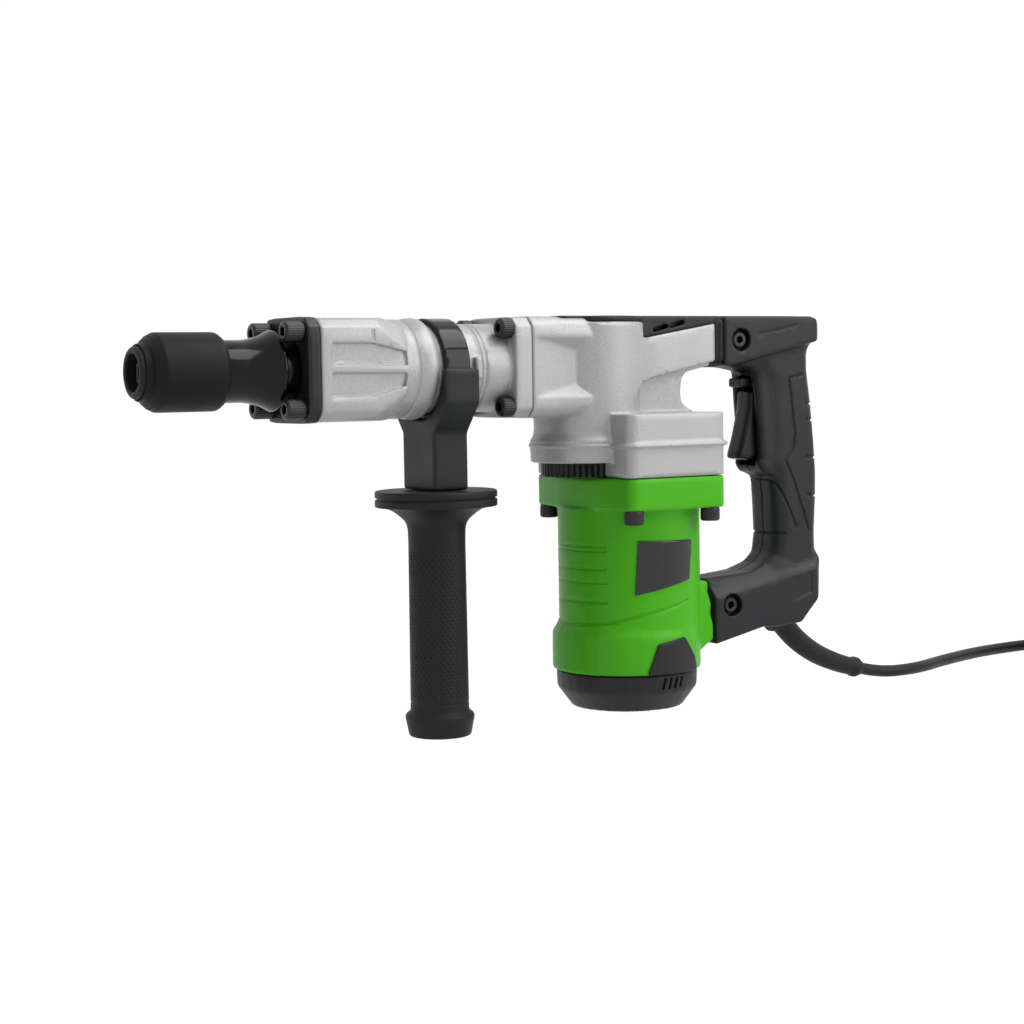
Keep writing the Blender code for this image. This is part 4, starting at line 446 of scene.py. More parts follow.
def sparkle_rubber(name, colour, rough):
    """Fine pebbled rubber."""
    nodes = Nodes(name)
    pebble = nodes.cells(0.7)
    slow = nodes.noise(16.0, 3.0)
    tone = nodes.mix(nodes.remap(slow, 0, 1, 0.3, 0.7), shade(colour, 0.82), shade(colour, 1.2))
    nodes.link(tone, nodes.shader, "Base Color")
    nodes.link(nodes.remap(slow, rough - 0.06, rough + 0.08, 0.3, 0.7), nodes.shader, "Roughness")
    nodes.shader.inputs["Specular IOR Level"].default_value = 0.24
    nodes.bump(pebble, 0.05, 0.6)
    return nodes.material


def wound_wire():
    """Lacquered copper wire laid side by side."""
    nodes = Nodes("copper_winding")
    wave = nodes.tree.nodes.new("ShaderNodeTexWave")
    wave.bands_direction = "Z"
    wave.inputs["Scale"].default_value = 320
    wave.inputs["Distortion"].default_value = 1.2
    nodes.link(nodes.place, wave, "Vector")
    tone = nodes.mix(wave.outputs["Fac"], (0.18, 0.06, 0.025), (0.72, 0.32, 0.15))
    nodes.link(tone, nodes.shader, "Base Color")
    nodes.shader.inputs["Metallic"].default_value = 0.9
    nodes.shader.inputs["Roughness"].default_value = 0.32
    nodes.bump(wave.outputs["Fac"], 0.15)
    return nodes.material


def stacked_sheets():
    """Thin iron sheets stacked along the axis."""
    nodes = Nodes("iron_stack")
    wave = nodes.tree.nodes.new("ShaderNodeTexWave")
    wave.bands_direction = "Z"
    wave.inputs["Scale"].default_value = 620
    nodes.link(nodes.place, wave, "Vector")
    tone = nodes.mix(wave.outputs["Fac"], (0.10, 0.10, 0.11), (0.34, 0.34, 0.36))
    nodes.link(tone, nodes.shader, "Base Color")
    nodes.shader.inputs["Metallic"].default_value = 0.85
    nodes.shader.inputs["Roughness"].default_value = 0.45
    nodes.bump(wave.outputs["Fac"], 0.1)
    return nodes.material


SILVER = silver_paint()
GREEN = finish("green_casing_satin", (0.066, 0.425, 0.005), 0.40, grain=0.5, tint=0.06, deep=0.02, wear=0.12,
               specular=0.22)
PLASTIC = finish("black_plastic_textured", (0.0105, 0.011, 0.0128), 0.48, grain=0.4, tint=0.2, deep=0.04,
                 wear=0.25, specular=0.28)
SMOOTH = finish("black_plastic_smooth", (0.006, 0.006, 0.0074), 0.38, grain=0.5, tint=0.15, deep=0.012,
                wear=0.2, specular=0.26)
GLOSS = finish("black_enamel_gloss", (0.004, 0.004, 0.005), 0.14, grain=3.0, tint=0.1, deep=0.01,
               rough_span=0.06, specular=0.2)
SLEEVE = finish("black_sleeve_matt", (0.006, 0.006, 0.0072), 0.55, grain=0.5, tint=0.2, deep=0.05, wear=0.2,
                specular=0.16)
PAINT = finish("black_paint_satin", (0.009, 0.009, 0.0106), 0.40, grain=0.5, tint=0.15, deep=0.025, wear=0.3,
               specular=0.3)
OXIDE = finish("black_oxide_steel", (0.018, 0.018, 0.020), 0.36, metal=0.5, grain=0.4, tint=0.2, deep=0.01,
               wear=0.4)
BRIGHT = finish("bright_ground_steel", (0.56, 0.56, 0.58), 0.26, metal=1.0, grain=0.8, tint=0.08, deep=0.008)
BRASS = finish("bright_brass", (0.66, 0.46, 0.17), 0.3, metal=1.0, grain=0.8, tint=0.08, deep=0.008)
CARBON = finish("pressed_carbon", (0.03, 0.03, 0.032), 0.55, metal=0.2, grain=0.3, tint=0.25, deep=0.02)
RUBBER = sparkle_rubber("black_rubber_pebbled", (0.008, 0.0082, 0.0096), 0.56)
CORD_SKIN = sparkle_rubber("black_cord_rubber", (0.006, 0.006, 0.007), 0.44)
COPPER = wound_wire()
IRON = stacked_sheets()
PLATE = finish("black_plate_bare", (0.006, 0.006, 0.006), 0.22, grain=1.2, tint=0.1, deep=0.004)


# Placing

def place(name, data, material, *nodes, body=None):
    """A new piece that rides on a body and stands for the nodes given."""
    piece = bpy.data.objects.new(name, data)
    bpy.context.scene.collection.objects.link(piece)
    data.materials.clear()
    data.materials.append(material)
    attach(piece, body or body_of(bpy.data.objects[nodes[0]])[0])
    if nodes:
        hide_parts(*nodes)
    return piece


# The cord and its boot, in metres

# The middle of the boot, from the handle's foot down to the tip, as (x, z)
BOOT_ROUTE = [(0.1130, 0.0546), (0.1190, 0.0471), (0.1244, 0.0404), (0.1325, 0.0321), (0.1415, 0.0250),
              (0.1515, 0.0188), (0.1624, 0.0138), (0.1750, 0.0092), (0.1880, 0.0058), (0.1912, 0.0050)]


def cord():
    """The cord: down from its boot, along the floor in a slow bend, and into a coil of two layers."""
    thick = 0.008
    lying = 0.0008
    coil_z = 0.0017
    past_ring = 0.002
    bend, ring = (Vector((x, 0, z)) for x, z in BOOT_ROUTE[-3:-1])
    laid = [(0.1977, -0.0006, 0.0026), (0.2080, -0.0016, 0.0009), (0.2180, -0.0024, 0.0001),
            (0.2280, -0.0026, 0), (0.2380, -0.0014, 0), (0.2480, 0.0012, 0), (0.2600, 0.0056, 0),
            (0.2740, 0.0114, 0), (0.2900, 0.0172, 0), (0.3080, 0.0234, 0), (0.3280, 0.0290, 0),
            (0.3500, 0.0330, 0), (0.3740, 0.0344, 0.0002), (0.3980, 0.0318, 0.0006)]
    centre = Vector((0.414, -0.036, 0))
    radius = 0.0628
    pitch = 0.0086
    turns = 7
    climb = 0.5
    start = math.radians(78.5)
    lead = 0.009
    tail = 0.042
    per_turn = 24

    def coil_point(turn):
        angle = start - 2 * math.pi * turn
        r = radius - pitch * min(turn, turns - turn)
        rise = min(1.0, max(0.0, (turn - (turns - climb) / 2) / climb))
        return centre + Vector((r * math.cos(angle), r * math.sin(angle), coil_z + pitch * rise))

    heading = Vector((math.sin(start), -math.cos(start), 0))
    coil = [coil_point(i / per_turn) for i in range(turns * per_turn + 1)]
    coil = [coil[0] - heading * lead] + coil + [coil[-1] + heading * tail]
    first = ring + (ring - bend).normalized() * past_ring
    route = [first] + [Vector((x, y, lying + rise)) for x, y, rise in laid] + coil
    path = smooth_curve(route, 0.004)
    curve = bpy.data.curves.new("power_lead", "CURVE")
    curve.dimensions = "3D"
    curve.bevel_depth = thick / 2
    curve.bevel_resolution = 6
    curve.use_fill_caps = True
    spline = curve.splines.new("POLY")
    spline.points.add(len(path) - 1)
    for point, spot in zip(spline.points, path):
        point.co = (*spot, 1)
    spline.use_smooth = True
    piece = place("power_lead", curve, CORD_SKIN, "power_cord", "cord_coil", body="hammer")
    tie = soft_copy("cord_tie_strap", "cord_tie", RUBBER, 0.3, 0.15)
    plug = soft_copy("mains_plug", "plug", SMOOTH, 0.5, 0.4)


def cord_guard():
    """The rubber boot, thinner towards its end, with a ring and a tapered tip there."""
    root_r = 0.0078
    end_r = 0.0058
    ring_r = 0.0009
    tip_r = 0.0012
    path = smooth_curve([(x, 0, z) for x, z in BOOT_ROUTE], 0.0012)
    lengths = np.cumsum([0] + [(b - a).length for a, b in zip(path, path[1:])])
    share = lengths / lengths[-1]
    radii = root_r + (end_r - root_r) * share
    ring = np.exp(-((lengths[-1] - lengths - 0.0060) / 0.0026) ** 6)
    tip = np.clip(1 - (lengths[-1] - lengths) / 0.0030, 0, 1)
    radii += ring_r * ring - tip_r * tip
    place("cord_boot", swept("cord_boot", path, radii), RUBBER, "cord_guard")


# Castings, housings and mouldings

def soft_copy(name, node, material, cell, size, before=None, after=None):
    """A piece with the shape of a solid, its edges rounded, changed before or after the rounding."""
    clay = Clay([node], cell)
    if before:
        before(clay)
    clay.soften(size)
    if after:
        after(clay)
    return place(name, clay.mesh(name), material, node)


def shape_barrel(clay):
    """Flat sides in front, a cone behind them, the round seat of the strap and its keys."""
    x, z, side = clay.x, clay.z, np.abs(clay.y)
    ring = np.hypot(clay.y, z - BARREL_Z)
    clay.add(np.maximum(np.abs(ring - 25.0) - 1.4, clay.span(x, -149.0, -99.0)))
    flats = np.maximum(np.abs(side - 27.5) - 2.0, np.abs(z - BARREL_Z) - 20.5)
    clay.add(np.maximum(flats, clay.span(x, -224.3, -170.0)))
    clay.add(np.maximum(np.abs(ring - 26.5) - 2.6, clay.span(x, -188.0, -151.0)), 1.0)
    cone = np.maximum(38.6 - (x + 191.0) * 0.335 - ring, clay.span(x, -191.0, -160.0))
    clay.cut(cone * 0.95, 0.3)
    key = np.maximum(clay.span(x, -125.0, -120.5), clay.span(z, 206.0, 219.0))
    clay.add(np.maximum(key, np.abs(side - 27.5) - 2.4))
    crown = np.hypot((x + 153.5) * 0.62, ring - 26.6) - 3.2
    clay.add(crown, 0.6)


def lines_on_barrel(clay):
    """Two sunk pads a side, a parting line over them and the lines round the barrel."""
    x, z = clay.x, clay.z
    inner = 18.0 - np.abs(clay.y)
    upper = [(-217.2, 227.6), (-191.5, 227.4), (-170.0, 222.2), (-170.1, 214.8), (-217.4, 215.2)]
    lower = [(-217.6, 210.9), (-170.2, 210.3), (-171.0, 202.9), (-192.2, 197.6), (-218.4, 197.3)]
    pads = np.minimum(within(upper)(x, z), within(lower)(x, z))
    clay.engrave(np.maximum(pads, inner), 1.5, 0.7)
    parting = along([(-191.4, 228.8), (-191.4, 234.7)])(x, z) - 0.45
    clay.engrave(np.maximum(parting, inner), 0.6, 0.2)
    ring = np.hypot(clay.y, z - BARREL_Z)
    for line_x in (-161.5, -147.6, -119.0, -116.0):
        clay.engrave(np.maximum(np.abs(x - line_x) - 0.5, 22 - ring), 0.6, 0.3)


def shape_gear_case(clay):
    x, z, side = clay.x, clay.z, np.abs(clay.y)
    top_z = 239.2

    # The front block: two round bars a side, with a flat between them that leans in to the rear
    block = np.maximum(clay.brick((-110, -30, 182.6), (-39, 30, 242.6), 9.0), -86 - x)
    lean = (-side + 30 - (x + 84) * 8 / 41) * 0.98
    upper = (z - 230 + 1.16 * (30 - side)) * 0.652
    lower = (195 + 1.16 * (30 - side) - z) * 0.652
    notch = np.maximum(np.maximum(lean, upper), lower)
    for room in (clay.round_x(0, BARREL_Z, 22.2) + 0 * x, clay.round_z(CRANK_X, 0, 27.7) + 0 * z,
                 clay.brick((-63.4, -23.9, top_z), (60, 23.9, 260))):
        block = np.maximum(block, -room)
    clay.add(block, 1.5)
    clay.cut(np.maximum(notch, x + 41))
    tower = np.abs(clay.round_z(CRANK_X, 0, 32.4)) - 1.9
    clay.add(np.maximum(tower, clay.span(z, 168.0, top_z)), 0.5)

    # The arm runs out of the tower in one sweep
    arm = within([(-12.0, 227.6), (-6.0, 227.8), (52.2, 237.6), (52.2, 215.2), (2.0, 204.8),
                  (-12.0, 202.0)])(x, z)
    tower = np.maximum(clay.round_z(CRANK_X, 0, 34.3), clay.span(z, 168.0, top_z))
    lump = -soft_max(-np.maximum(arm, side - 24.0), -tower, 12.0)
    wedge = np.minimum(z - 227.9 - 0.166 * (x + 6.0), x + 5.5)
    lump = np.maximum(np.maximum(lump, wedge), np.maximum(15.0 - side, -clay.round_z(CRANK_X, 0, 28.5)))
    clay.add(lump, 0.3)

    # The arm panel over the thinner web
    panel = [(62, 217.0), (49.8, 214.3), (24.9, 209.0), (2.0, 204.4), (-6.0, 202.0), (-11.5, 197.2),
             (-13.6, 191.0), (-14.0, 184.4), (62, 184.4)]
    web = within([(-3.0, 183.5), (29.5, 183.5), (29.5, 205.0), (37.0, 211.0), (2.0, 205.0)])(x, z)
    clay.add(np.maximum(web, side - 17.9))
    clay.engrave(np.maximum(within(panel)(x, z), 18.2 - side), 3.0 + 2.6 * np.clip((x + 6) / 8, 0, 1), 1.2)
    wall = np.maximum(np.abs(clay.round_z(CRANK_X, 0, 29.6)) - 1.5, clay.span(z, 182.0, 207.0))
    clay.add(np.maximum(wall, clay.span(x, -22.0, 6.0)))
    top_fill = within([(27, 212.5), (40, 212.0), (34.5, 208.6), (31.2, 204.6), (29.5, 199.0)])(x, z)
    foot_fill = within([(29.0, 194.0), (31.0, 189.6), (34.4, 186.4), (40.0, 183.8), (29.0, 182.5)])(x, z)
    clay.add(np.maximum(np.minimum(top_fill, foot_fill), side - 17.6), 1.0)

    # The skirt runs straight back into the box, with a sloping top
    skirt = np.maximum(side - 36.7, clay.span(x, CRANK_X, 4.0))
    slope = (z - 167.6 - 0.45 * (36.7 - side)) * 0.91
    skirt = np.maximum(np.maximum(skirt, slope), np.maximum(154.1 - z, 31.5 - side))
    clay.add(skirt, 1.0)
    ledge = clay.round_z(CRANK_X, 0, 36.7)
    slope = (z - 167.6 + 1.6 * ledge) * 0.53
    ledge = np.maximum(np.maximum(ledge, slope), np.maximum(160 - z, -clay.round_z(CRANK_X, 0, 31.0)))
    clay.add(ledge, 1.0)


def lines_on_gear_case(clay):
    """The bead round the box and the skirt."""
    skirt = np.maximum(-clay.round_z(CRANK_X, 0, 33.0), clay.x + 20.0)
    outer = np.minimum(np.minimum(30.0 - np.abs(clay.y), skirt), 34.0 - clay.x)
    clay.emboss(np.maximum(np.abs(clay.z - 164.6) - 0.9, outer), 0.8, 0.3)


def shape_cover(clay):
    """The wedge a side of the cover, which the vents are in."""
    fill = np.maximum(np.abs(np.abs(clay.y) - 22.0) - 1.4, clay.span(clay.x, 0.0, 34.0))
    clay.add(np.maximum(fill, np.maximum(clay.z - 242.6, 230.5 + 0.165 * clay.x - clay.z)))


def lines_on_cover(clay):
    """Two vent slots a side."""
    for a, b in (((6.6, 234.6), (15.4, 236.8)), ((19.2, 237.0), (28.0, 239.2))):
        clay.engrave(along([a, b])(clay.x, clay.z) - 1.35, 2.6, 0.3)


def shape_motor(clay):
    """A round casing, with a lug a side for the foot of the handle."""
    x, z, side = clay.x, clay.z, np.abs(clay.y)
    tube = np.abs(clay.round_z(MOTOR_X, 0, 0) - 43.4) - 1.2
    clay.add(np.maximum(tube, clay.span(z, 47.0, 125.5)))
    lug = within([(30.0, 76.0), (43.6, 71.5), (49.1, 67.9), (51.4, 60.7), (50.8, 54.4), (52.9, 47.5),
                  (53.0, 38.0), (48.3, 35.4), (43.1, 32.0), (37.6, 27.5), (30.0, 25.0)])(x, z)
    ear = np.maximum(np.maximum(lug, side - 19.5), np.maximum(14.0 - side, -clay.round_z(MOTOR_X, 0, 42.0)))
    clay.add(ear, 1.0)
    clay.cut(np.maximum(np.maximum(-lug, 47.0 - x), np.maximum(14.0 - side, z - 80)), 0.5)


def lines_on_motor(clay):
    """Level grooves in front, and one that sweeps down round the casing."""
    u = clay.unrolled(MOTOR_X, CASING_R)
    turn = math.radians(1) * CASING_R
    for z in (102.4, 99.9, 88.7, 80.3, 68.5):
        clay.engrave(along([(143 * turn, z), (217 * turn, z)])(u, clay.z) - 0.7, 0.8, 0.3)
    sweep = [(70.8, 68.0), (91.7, 63.9), (116.6, 59.9), (142.3, 55.6), (180, 53.0),
             (217.7, 55.6), (243.4, 59.9), (268.3, 63.9), (289.2, 68.0)]
    clay.engrave(along([(a * turn, z) for a, z in sweep])(u, clay.z) - 0.8, 0.9, 0.3)


def lines_on_cap(clay):
    """Four slanting air slots under the ear."""
    u = clay.unrolled(CAP_X, CAP_R)
    turn = math.radians(1) * CAP_R
    for angle in (266.0, 272.0, 278.0, 284.0):
        slot = along([(angle * turn, 15.0), ((angle + 2.0) * turn, 20.5)])(u, clay.z) - 0.9
        clay.engrave(slot, 1.6, 0.3)


# The handle seen from its side, from the top in front round the back to the foot and up inside
HANDLE_OUTLINE = [
    (62.0, 243.3), (132.7, 243.3), (137.5, 241.8), (140.4, 238.5), (141.1, 235.0), (140.6, 226.8),
    (136.6, 219.3), (136.7, 208.3), (139.8, 187.3), (142.3, 163.3), (143.8, 142.3), (143.6, 125.3),
    (142.4, 103.3), (142.6, 83.3), (139.6, 59.6), (130.5, 50.6), (124.0, 43.6), (101.0, 42.1),
    (93.0, 43.1), (53.3, 34.6), (53.3, 76.1), (87.5, 78.6), (99.5, 83.1), (107.0, 90.1), (108.7, 101.3),
    (107.5, 126.3), (106.5, 138.8), (104.0, 145.3), (101.5, 151.8), (103.0, 157.3), (101.5, 199.3),
    (95.5, 207.3), (77.0, 210.8), (62.0, 211.8)]


def slab(outline, side, half, edge):
    """An outline made thick, with its long edges rounded."""
    a, b = outline + edge, side - half + edge
    return np.hypot(np.maximum(a, 0), np.maximum(b, 0)) + np.minimum(np.maximum(a, b), 0) - edge


def shape_handle():
    """Both halves of the handle in one lump: square ends, round grip, cheeks beside the trigger."""
    clay = Clay([], 0.6, (50, -23, 32), (146, 23, 245))
    x, z, side = clay.x, clay.z, np.abs(clay.y)
    outline = within(HANDLE_OUTLINE)(x, z)
    crease = (211.7 + 0.2139 * (x - 66.7) - z) * 0.978
    ridge = (z - 63.6 - 0.187 * (x - 51.5) + 1.03 * (side - 21.5)) * 0.69
    grip = np.maximum(slab(outline, side, 17.2, 10.0), np.minimum(ridge - 3.0, 85 - z))
    clay.add(grip)
    ends = np.maximum(slab(outline, side, 21.5, 1.6), (x - 141.5 + 1.1 * (side - 17.2)) * 0.67)
    clay.add(np.maximum(ends, crease), 2.0)
    clay.add(np.maximum(ends, np.maximum(ridge, z - 100)), 1.0)

    cheek = within([(92.5, 211.0), (94.0, 189.6), (95.6, 170.3), (96.6, 151.5), (94.5, 149.5), (96.0, 146.0),
                    (99.5, 141.5), (114.0, 139.0), (114.0, 211.0)])(x, z)
    clay.add(slab(cheek, side, 14.8, 4.0), 3.0)
    clay.cut(clay.brick((70, -8.7, 147.4), (121, 8.7, 198.6)))
    clay.cut(clay.brick((70, -6.7, 197.0), (110, 6.7, 204.8)))
    t = (x - 113.0) * 0.645 - (z - 54.6) * 0.764
    off = np.hypot((x - 113.0) * 0.764 + (z - 54.6) * 0.645, clay.y)
    clay.add(np.maximum(off - 11.6, clay.span(t, 4.0, 15.0)), 1.0)
    clay.soften(0.85)
    return clay


def lines_on_handle(clay):
    """Parting lines of the soft covering, ribs behind, a sunk panel and two screw holes."""
    x, z = clay.x, clay.z
    rear = [(134.0, 206.6), (124.6, 204.6), (117.5, 203.4), (119.4, 187.1), (121.8, 168.2), (120.9, 157.8),
            (114.1, 150.2), (120.7, 136.9), (133.0, 104.0)]
    front = [(95.0, 143.2), (100.9, 141.9), (106.6, 139.1), (115.6, 121.5), (122.9, 106.0)]
    lines = [rear, front, [(100.0, 102.4), (113.7, 102.6)]]
    lines += [[(131.0, level), (147.0, level - 2.0)] for level in (187.0, 176.5, 152.0, 127.0)]
    for line in lines:
        clay.engrave(along(line)(x, z) - 0.6, 1.0, 0.25)
    clay.engrave(along([(90.1, 231.8), (106.4, 234.3), (120.5, 237.5)])(x, z) - 0.6, 0.45, 0.25)
    panel = within([(116.6, 73.3), (131.8, 76.2), (131.7, 63.1), (118.2, 58.7)])(x, z)
    clay.engrave(panel, 0.6, 0.3)
    for spot_x, spot_z in ((75.5, 228.3), (66.8, 59.1)):
        hole = np.hypot(x - spot_x, z - spot_z)
        clay.cut(np.maximum(hole - 7.2, 14.5 + clay.y), 0.4)


def handle():
    """The two halves, the trigger, the lock button and the bellows."""
    clay = shape_handle()
    lines_on_handle(clay)
    whole = clay.d
    halves = (("left_handle_half", "handle_left_shell", 1), ("right_handle_half", "handle_right_shell", -1))
    for name, node, way in halves:
        clay.d = np.maximum(whole, clay.y * way + 0.12)
        place(name, clay.mesh(name), PLASTIC, node)
    soft_copy("switch_trigger", "trigger", SMOOTH, 0.45, 0.6)
    soft_copy("lock_block", "lock_button", SMOOTH, 0.4, 0.4)
    soft_copy("rubber_bellows", "handle_bellows", RUBBER, 0.45, 0.4)


def castings():
    soft_copy("barrel_casting", "cylinder_housing", SILVER, 0.6, 0.7, shape_barrel, lines_on_barrel)
    soft_copy("gear_casting", "gear_case", SILVER, 0.65, 0.55, shape_gear_case, lines_on_gear_case)
    soft_copy("cover_moulding", "top_cover", PLASTIC, 0.5, 0.5, shape_cover, lines_on_cover)
    soft_copy("motor_casing", "motor_housing", GREEN, 0.7, 0.8, shape_motor, lines_on_motor)
    soft_copy("motor_foot_cap", "motor_end_cap", PLASTIC, 0.6, 0.8, None, lines_on_cap)
    soft_copy("front_plate", "front_flange", PAINT, 0.5, 0.5)
    soft_copy("clamp_yoke", "handle_yoke", PLASTIC, 0.6, 0.8)
    soft_copy("clamp_strap", "handle_clamp_band", GLOSS, 0.5, 0.5)


def cover_disc():
    """The round rim of the cover over the crank tower."""
    clay = Clay([], 0.5, (-50, -36, 238), (10, 36, 244))
    disc = np.maximum(clay.round_z(CRANK_X, 0, 34.0), clay.span(clay.z, 239.6, 243.1))
    clay.add(np.maximum(disc, -46.0 - clay.x))
    clay.soften(0.7)
    place("cover_disc", clay.mesh("cover_disc"), PLASTIC, body="hammer")


def vent_ring():
    """A black louvred ring between the skirt and the motor flange: painted shade, a dark piece standing in
    for the shade in the recess there.
    """
    fins = ridged(48, 0.05)
    rings = [(145.4, 27.0), (145.4, 30.2), (146.4, 30.2, fins), (152.8, 30.2, fins), (153.8, 30.2),
             (153.8, 27.0)]
    mesh = turned("vent_ring", rings, "z", (CRANK_X, 0, 0), 384, closed=True)
    # Black ring in the recess under the skirt, as painted shade
    place("vent_ring", mesh, SMOOTH, body="hammer")


def badge_plate():
    """The bare plate on the casing."""
    turn = math.radians(1) * BADGE_R
    corners = [(242.6, 106.3), (294.2, 105.4), (290.6, 80.9), (239.8, 72.8)]
    outline = [(angle * turn, z) for angle, z in corners]
    clay = Clay([], 0.35, (-25, -47, 70), (24, -35, 108))
    shell = np.abs(clay.round_z(MOTOR_X, 0, 0) - BADGE_R) - 0.6
    clay.add(np.maximum(shell, within(outline)(clay.unrolled(MOTOR_X, BADGE_R), clay.z)))
    clay.soften(0.3)
    place("badge_plate", clay.mesh("badge_plate"), PLATE, body="hammer")


def cap_ear():
    """The tongue of the foot cap that reaches up over the casing."""
    turn = math.radians(1) * EAR_R
    corners = [(251.0, 23.9), (260.0, 43.0), (284.5, 46.2), (299.0, 32.0), (301.5, 23.9)]
    outline = [(angle * turn, z) for angle, z in corners]
    clay = Clay([], 0.5, (-20, -50, 23), (26, -38, 48))
    shell = np.abs(clay.round_z(CAP_X, 0, 0) - EAR_R) - 0.9
    clay.add(np.maximum(shell, within(outline)(clay.unrolled(CAP_X, EAR_R), clay.z)))
    clay.soften(0.5)
    place("cap_ear", clay.mesh("cap_ear"), PLASTIC, body="hammer")


# Turned pieces

def nose():
    """The rubber ring in front and the stepped sleeve behind it."""
    rings = fillet([(-318.3, 10.6), (-324.0, 10.6, 1.0), (-324.5, 11.6, 0.5), (-324.5, 13.2, 0.8),
                    (-323.2, 14.5, 0.8), (-318.3, 14.5)])
    place("nose_ring", turned("nose_ring", rings, "x", (0, 0, BARREL_Z), closed=True), RUBBER, "dust_cap")
    rings = fillet([(-302.0, 14.8), (-321.0, 14.8), (-321.5, 15.2, 0.2), (-321.2, 15.9, 0.3),
                    (-317.6, 16.4, 0.5), (-317.2, 18.6, 0.5), (-315.6, 19.3, 0.5), (-315.2, 20.4, 0.5),
                    (-313.8, 20.9, 0.5), (-312.0, 22.0, 1.2), (-277.0, 22.0, 1.5), (-274.0, 19.6, 1.0),
                    (-274.0, 18.4), (-302.0, 18.4)],
                   closed=True)
    mesh = turned("pull_sleeve", rings, "x", (0, 0, BARREL_Z), 128, closed=True)
    place("pull_sleeve", mesh, SLEEVE, "chuck_sleeve")


def bell():
    """The glossy holder: nose, waist, bell and boss, with a six-sided bore for the chisel."""
    curve = [(-263.0 + 19.8 * i / 14, 17.6 + 5.4 * (i / 14) ** 2) for i in range(15)]
    outer = fillet([(-318.0, 14.2, 0.5), (-278.0, 14.2), (-278.0, 17.6, 0.6)] + curve
                   + [(-242.0, 23.0, 0.8), (-241.0, 22.2, 0.6), (-241.0, 19.0), (-224.8, 19.0),
                      (-224.8, 14.3)])
    inner = [(-238.5, 14.3), (-238.5, 9.3), (-262.0, 9.3), (-262.0, 8.7, hexagon), (-317.2, 8.7, hexagon),
             (-318.0, 9.5, hexagon)]
    mesh = turned("chisel_holder", outer + inner, "x", (0, 0, BARREL_Z), 132, closed=True)
    place("chisel_holder", mesh, GLOSS, "tool_holder")


def socket_bolt(node, axis, front, seat, end, centre, radius=6.0, shank=3.0):
    """A socket-head screw: knurled head, six-sided socket, plain shank."""
    way = 1 if seat > front else -1
    knurl = ridged(30, 0.045)
    deep = front + way * 0.55 * abs(seat - front)
    rings = [(deep, 0.001), (deep, 2.6, hexagon), (front + way * 0.2, 2.6, hexagon), (front, 2.9, hexagon),
             (front, radius - 1.1), (front + way * 0.4, radius - 0.5),
             (front + way * 1.1, radius - 0.05), (front + way * 1.6, radius, knurl),
             (seat - way * 1.6, radius, knurl), (seat - way * 1.0, radius - 0.1), (seat, radius - 0.35),
             (seat, shank), (end, shank), (end, 0.001)]
    place(node + "_knurled", turned(node, rings, axis, centre, 180), OXIDE, node)


def bolts():
    """Four bolts each in the front plate, the gear case and the motor flange."""
    seats = (("front_bolt", "x", -232.5), ("case_bolt", "x", -98.0), ("motor_bolt", "z", 125.1))
    for i in range(1, 5):
        for family, axis, seat in seats:
            node = "%s_%d" % (family, i)
            low, high = (Vector(c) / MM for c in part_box(node))
            mid = (low + high) / 2
            if axis == "x":
                socket_bolt(node, axis, low.x, seat, high.x, (0, mid.y, mid.z))
            else:
                socket_bolt(node, axis, low.z, seat, high.z, (mid.x, mid.y, 0))


def side_grip():
    """The grip: disc, hollow flare, knurled barrel and knob, with a bore for the clamp bolt."""
    outer = fillet([(-5.6, 0.001), (-5.6, 18.5, 1.5), (7.0, 21.0, 2.0), (9.5, 17.6, 2.0), (11.5, 17.5, 0.5),
                    (112.0, 17.0, 4.0), (122.0, 17.4, 5.0), (129.8, 27.0, 5.0), (131.3, 34.5, 1.5),
                    (131.3, 36.4, 1.0), (135.4, 36.4, 0.8), (135.6, 35.2, 0.2), (136.6, 35.2, 0.2),
                    (136.8, 36.4, 0.8), (140.9, 36.4, 1.5), (140.9, 4.4), (36.0, 4.4), (36.0, 0.001)])
    rings = []
    for (a, r), (b, s) in zip(outer, outer[1:]):
        knurled = 11.5 < a < 112.5 and b > a and b - a > 10
        count = 210 if knurled else 1
        for i in range(count):
            t = i / count
            level = a + (b - a) * t
            rings.append((level, r + (s - r) * t, grip_form(level) if knurled else plain))
    rings.append(outer[-1])
    mesh = turned("grip_moulding", rings, "z", (SIDE_X, 0, 0), 288)
    place("grip_moulding", mesh, RUBBER, "side_handle_grip")


def grip_form(z):
    """Two fields of diamond knurling, parted by plain bands in front and behind."""
    def form(theta):
        field = np.clip((np.abs(np.sin(theta + 0.55)) - 0.36) * 9, 0, 1)
        ends = np.clip((z - 17) / 2, 0, 1) * np.clip((107 - z) / 2, 0, 1)
        a, b = theta * 17.4 + z * 0.8, theta * 17.4 - z * 0.8
        diamond = np.maximum(np.abs(np.sin(a * math.pi / 3.42)), np.abs(np.sin(b * math.pi / 3.42)))
        line = 0.35 * math.exp(-((z - 14.5) / 0.5) ** 2) + 0.35 * math.exp(-((z - 109.5) / 0.5) ** 2)
        return 1 - (field * ends * 0.55 * (1 - np.clip((diamond - 0.3) * 2.2, 0, 1)) + line) / 17.4
    return form


def handle_screws():
    """Two screws across the handle, sunk from the left."""
    for node in ("handle_screw_upper", "handle_screw_lower"):
        low, high = (Vector(c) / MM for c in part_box(node))
        mid = (low + high) / 2
        long = high.y - low.y
        rings = [(5.0, 0.001), (5.0, 2.2, hexagon), (0.3, 2.2, hexagon), (0, 2.5, hexagon), (0, 4.4),
                 (0.8, 5.2), (4.0, 5.2), (4.0, 2.0), (long, 2.0), (long, 0.001)]
        mesh = turned(node, rings, "z", (0, 0, 0), 90)
        spot = Vector((mid.x, low.y, mid.z)) * MM
        mesh.transform(Matrix.Translation(spot) @ Matrix.Rotation(-math.pi / 2, 4, "X"))
        place(node + "_socket", mesh, OXIDE, node)


# Inner works keep their solids

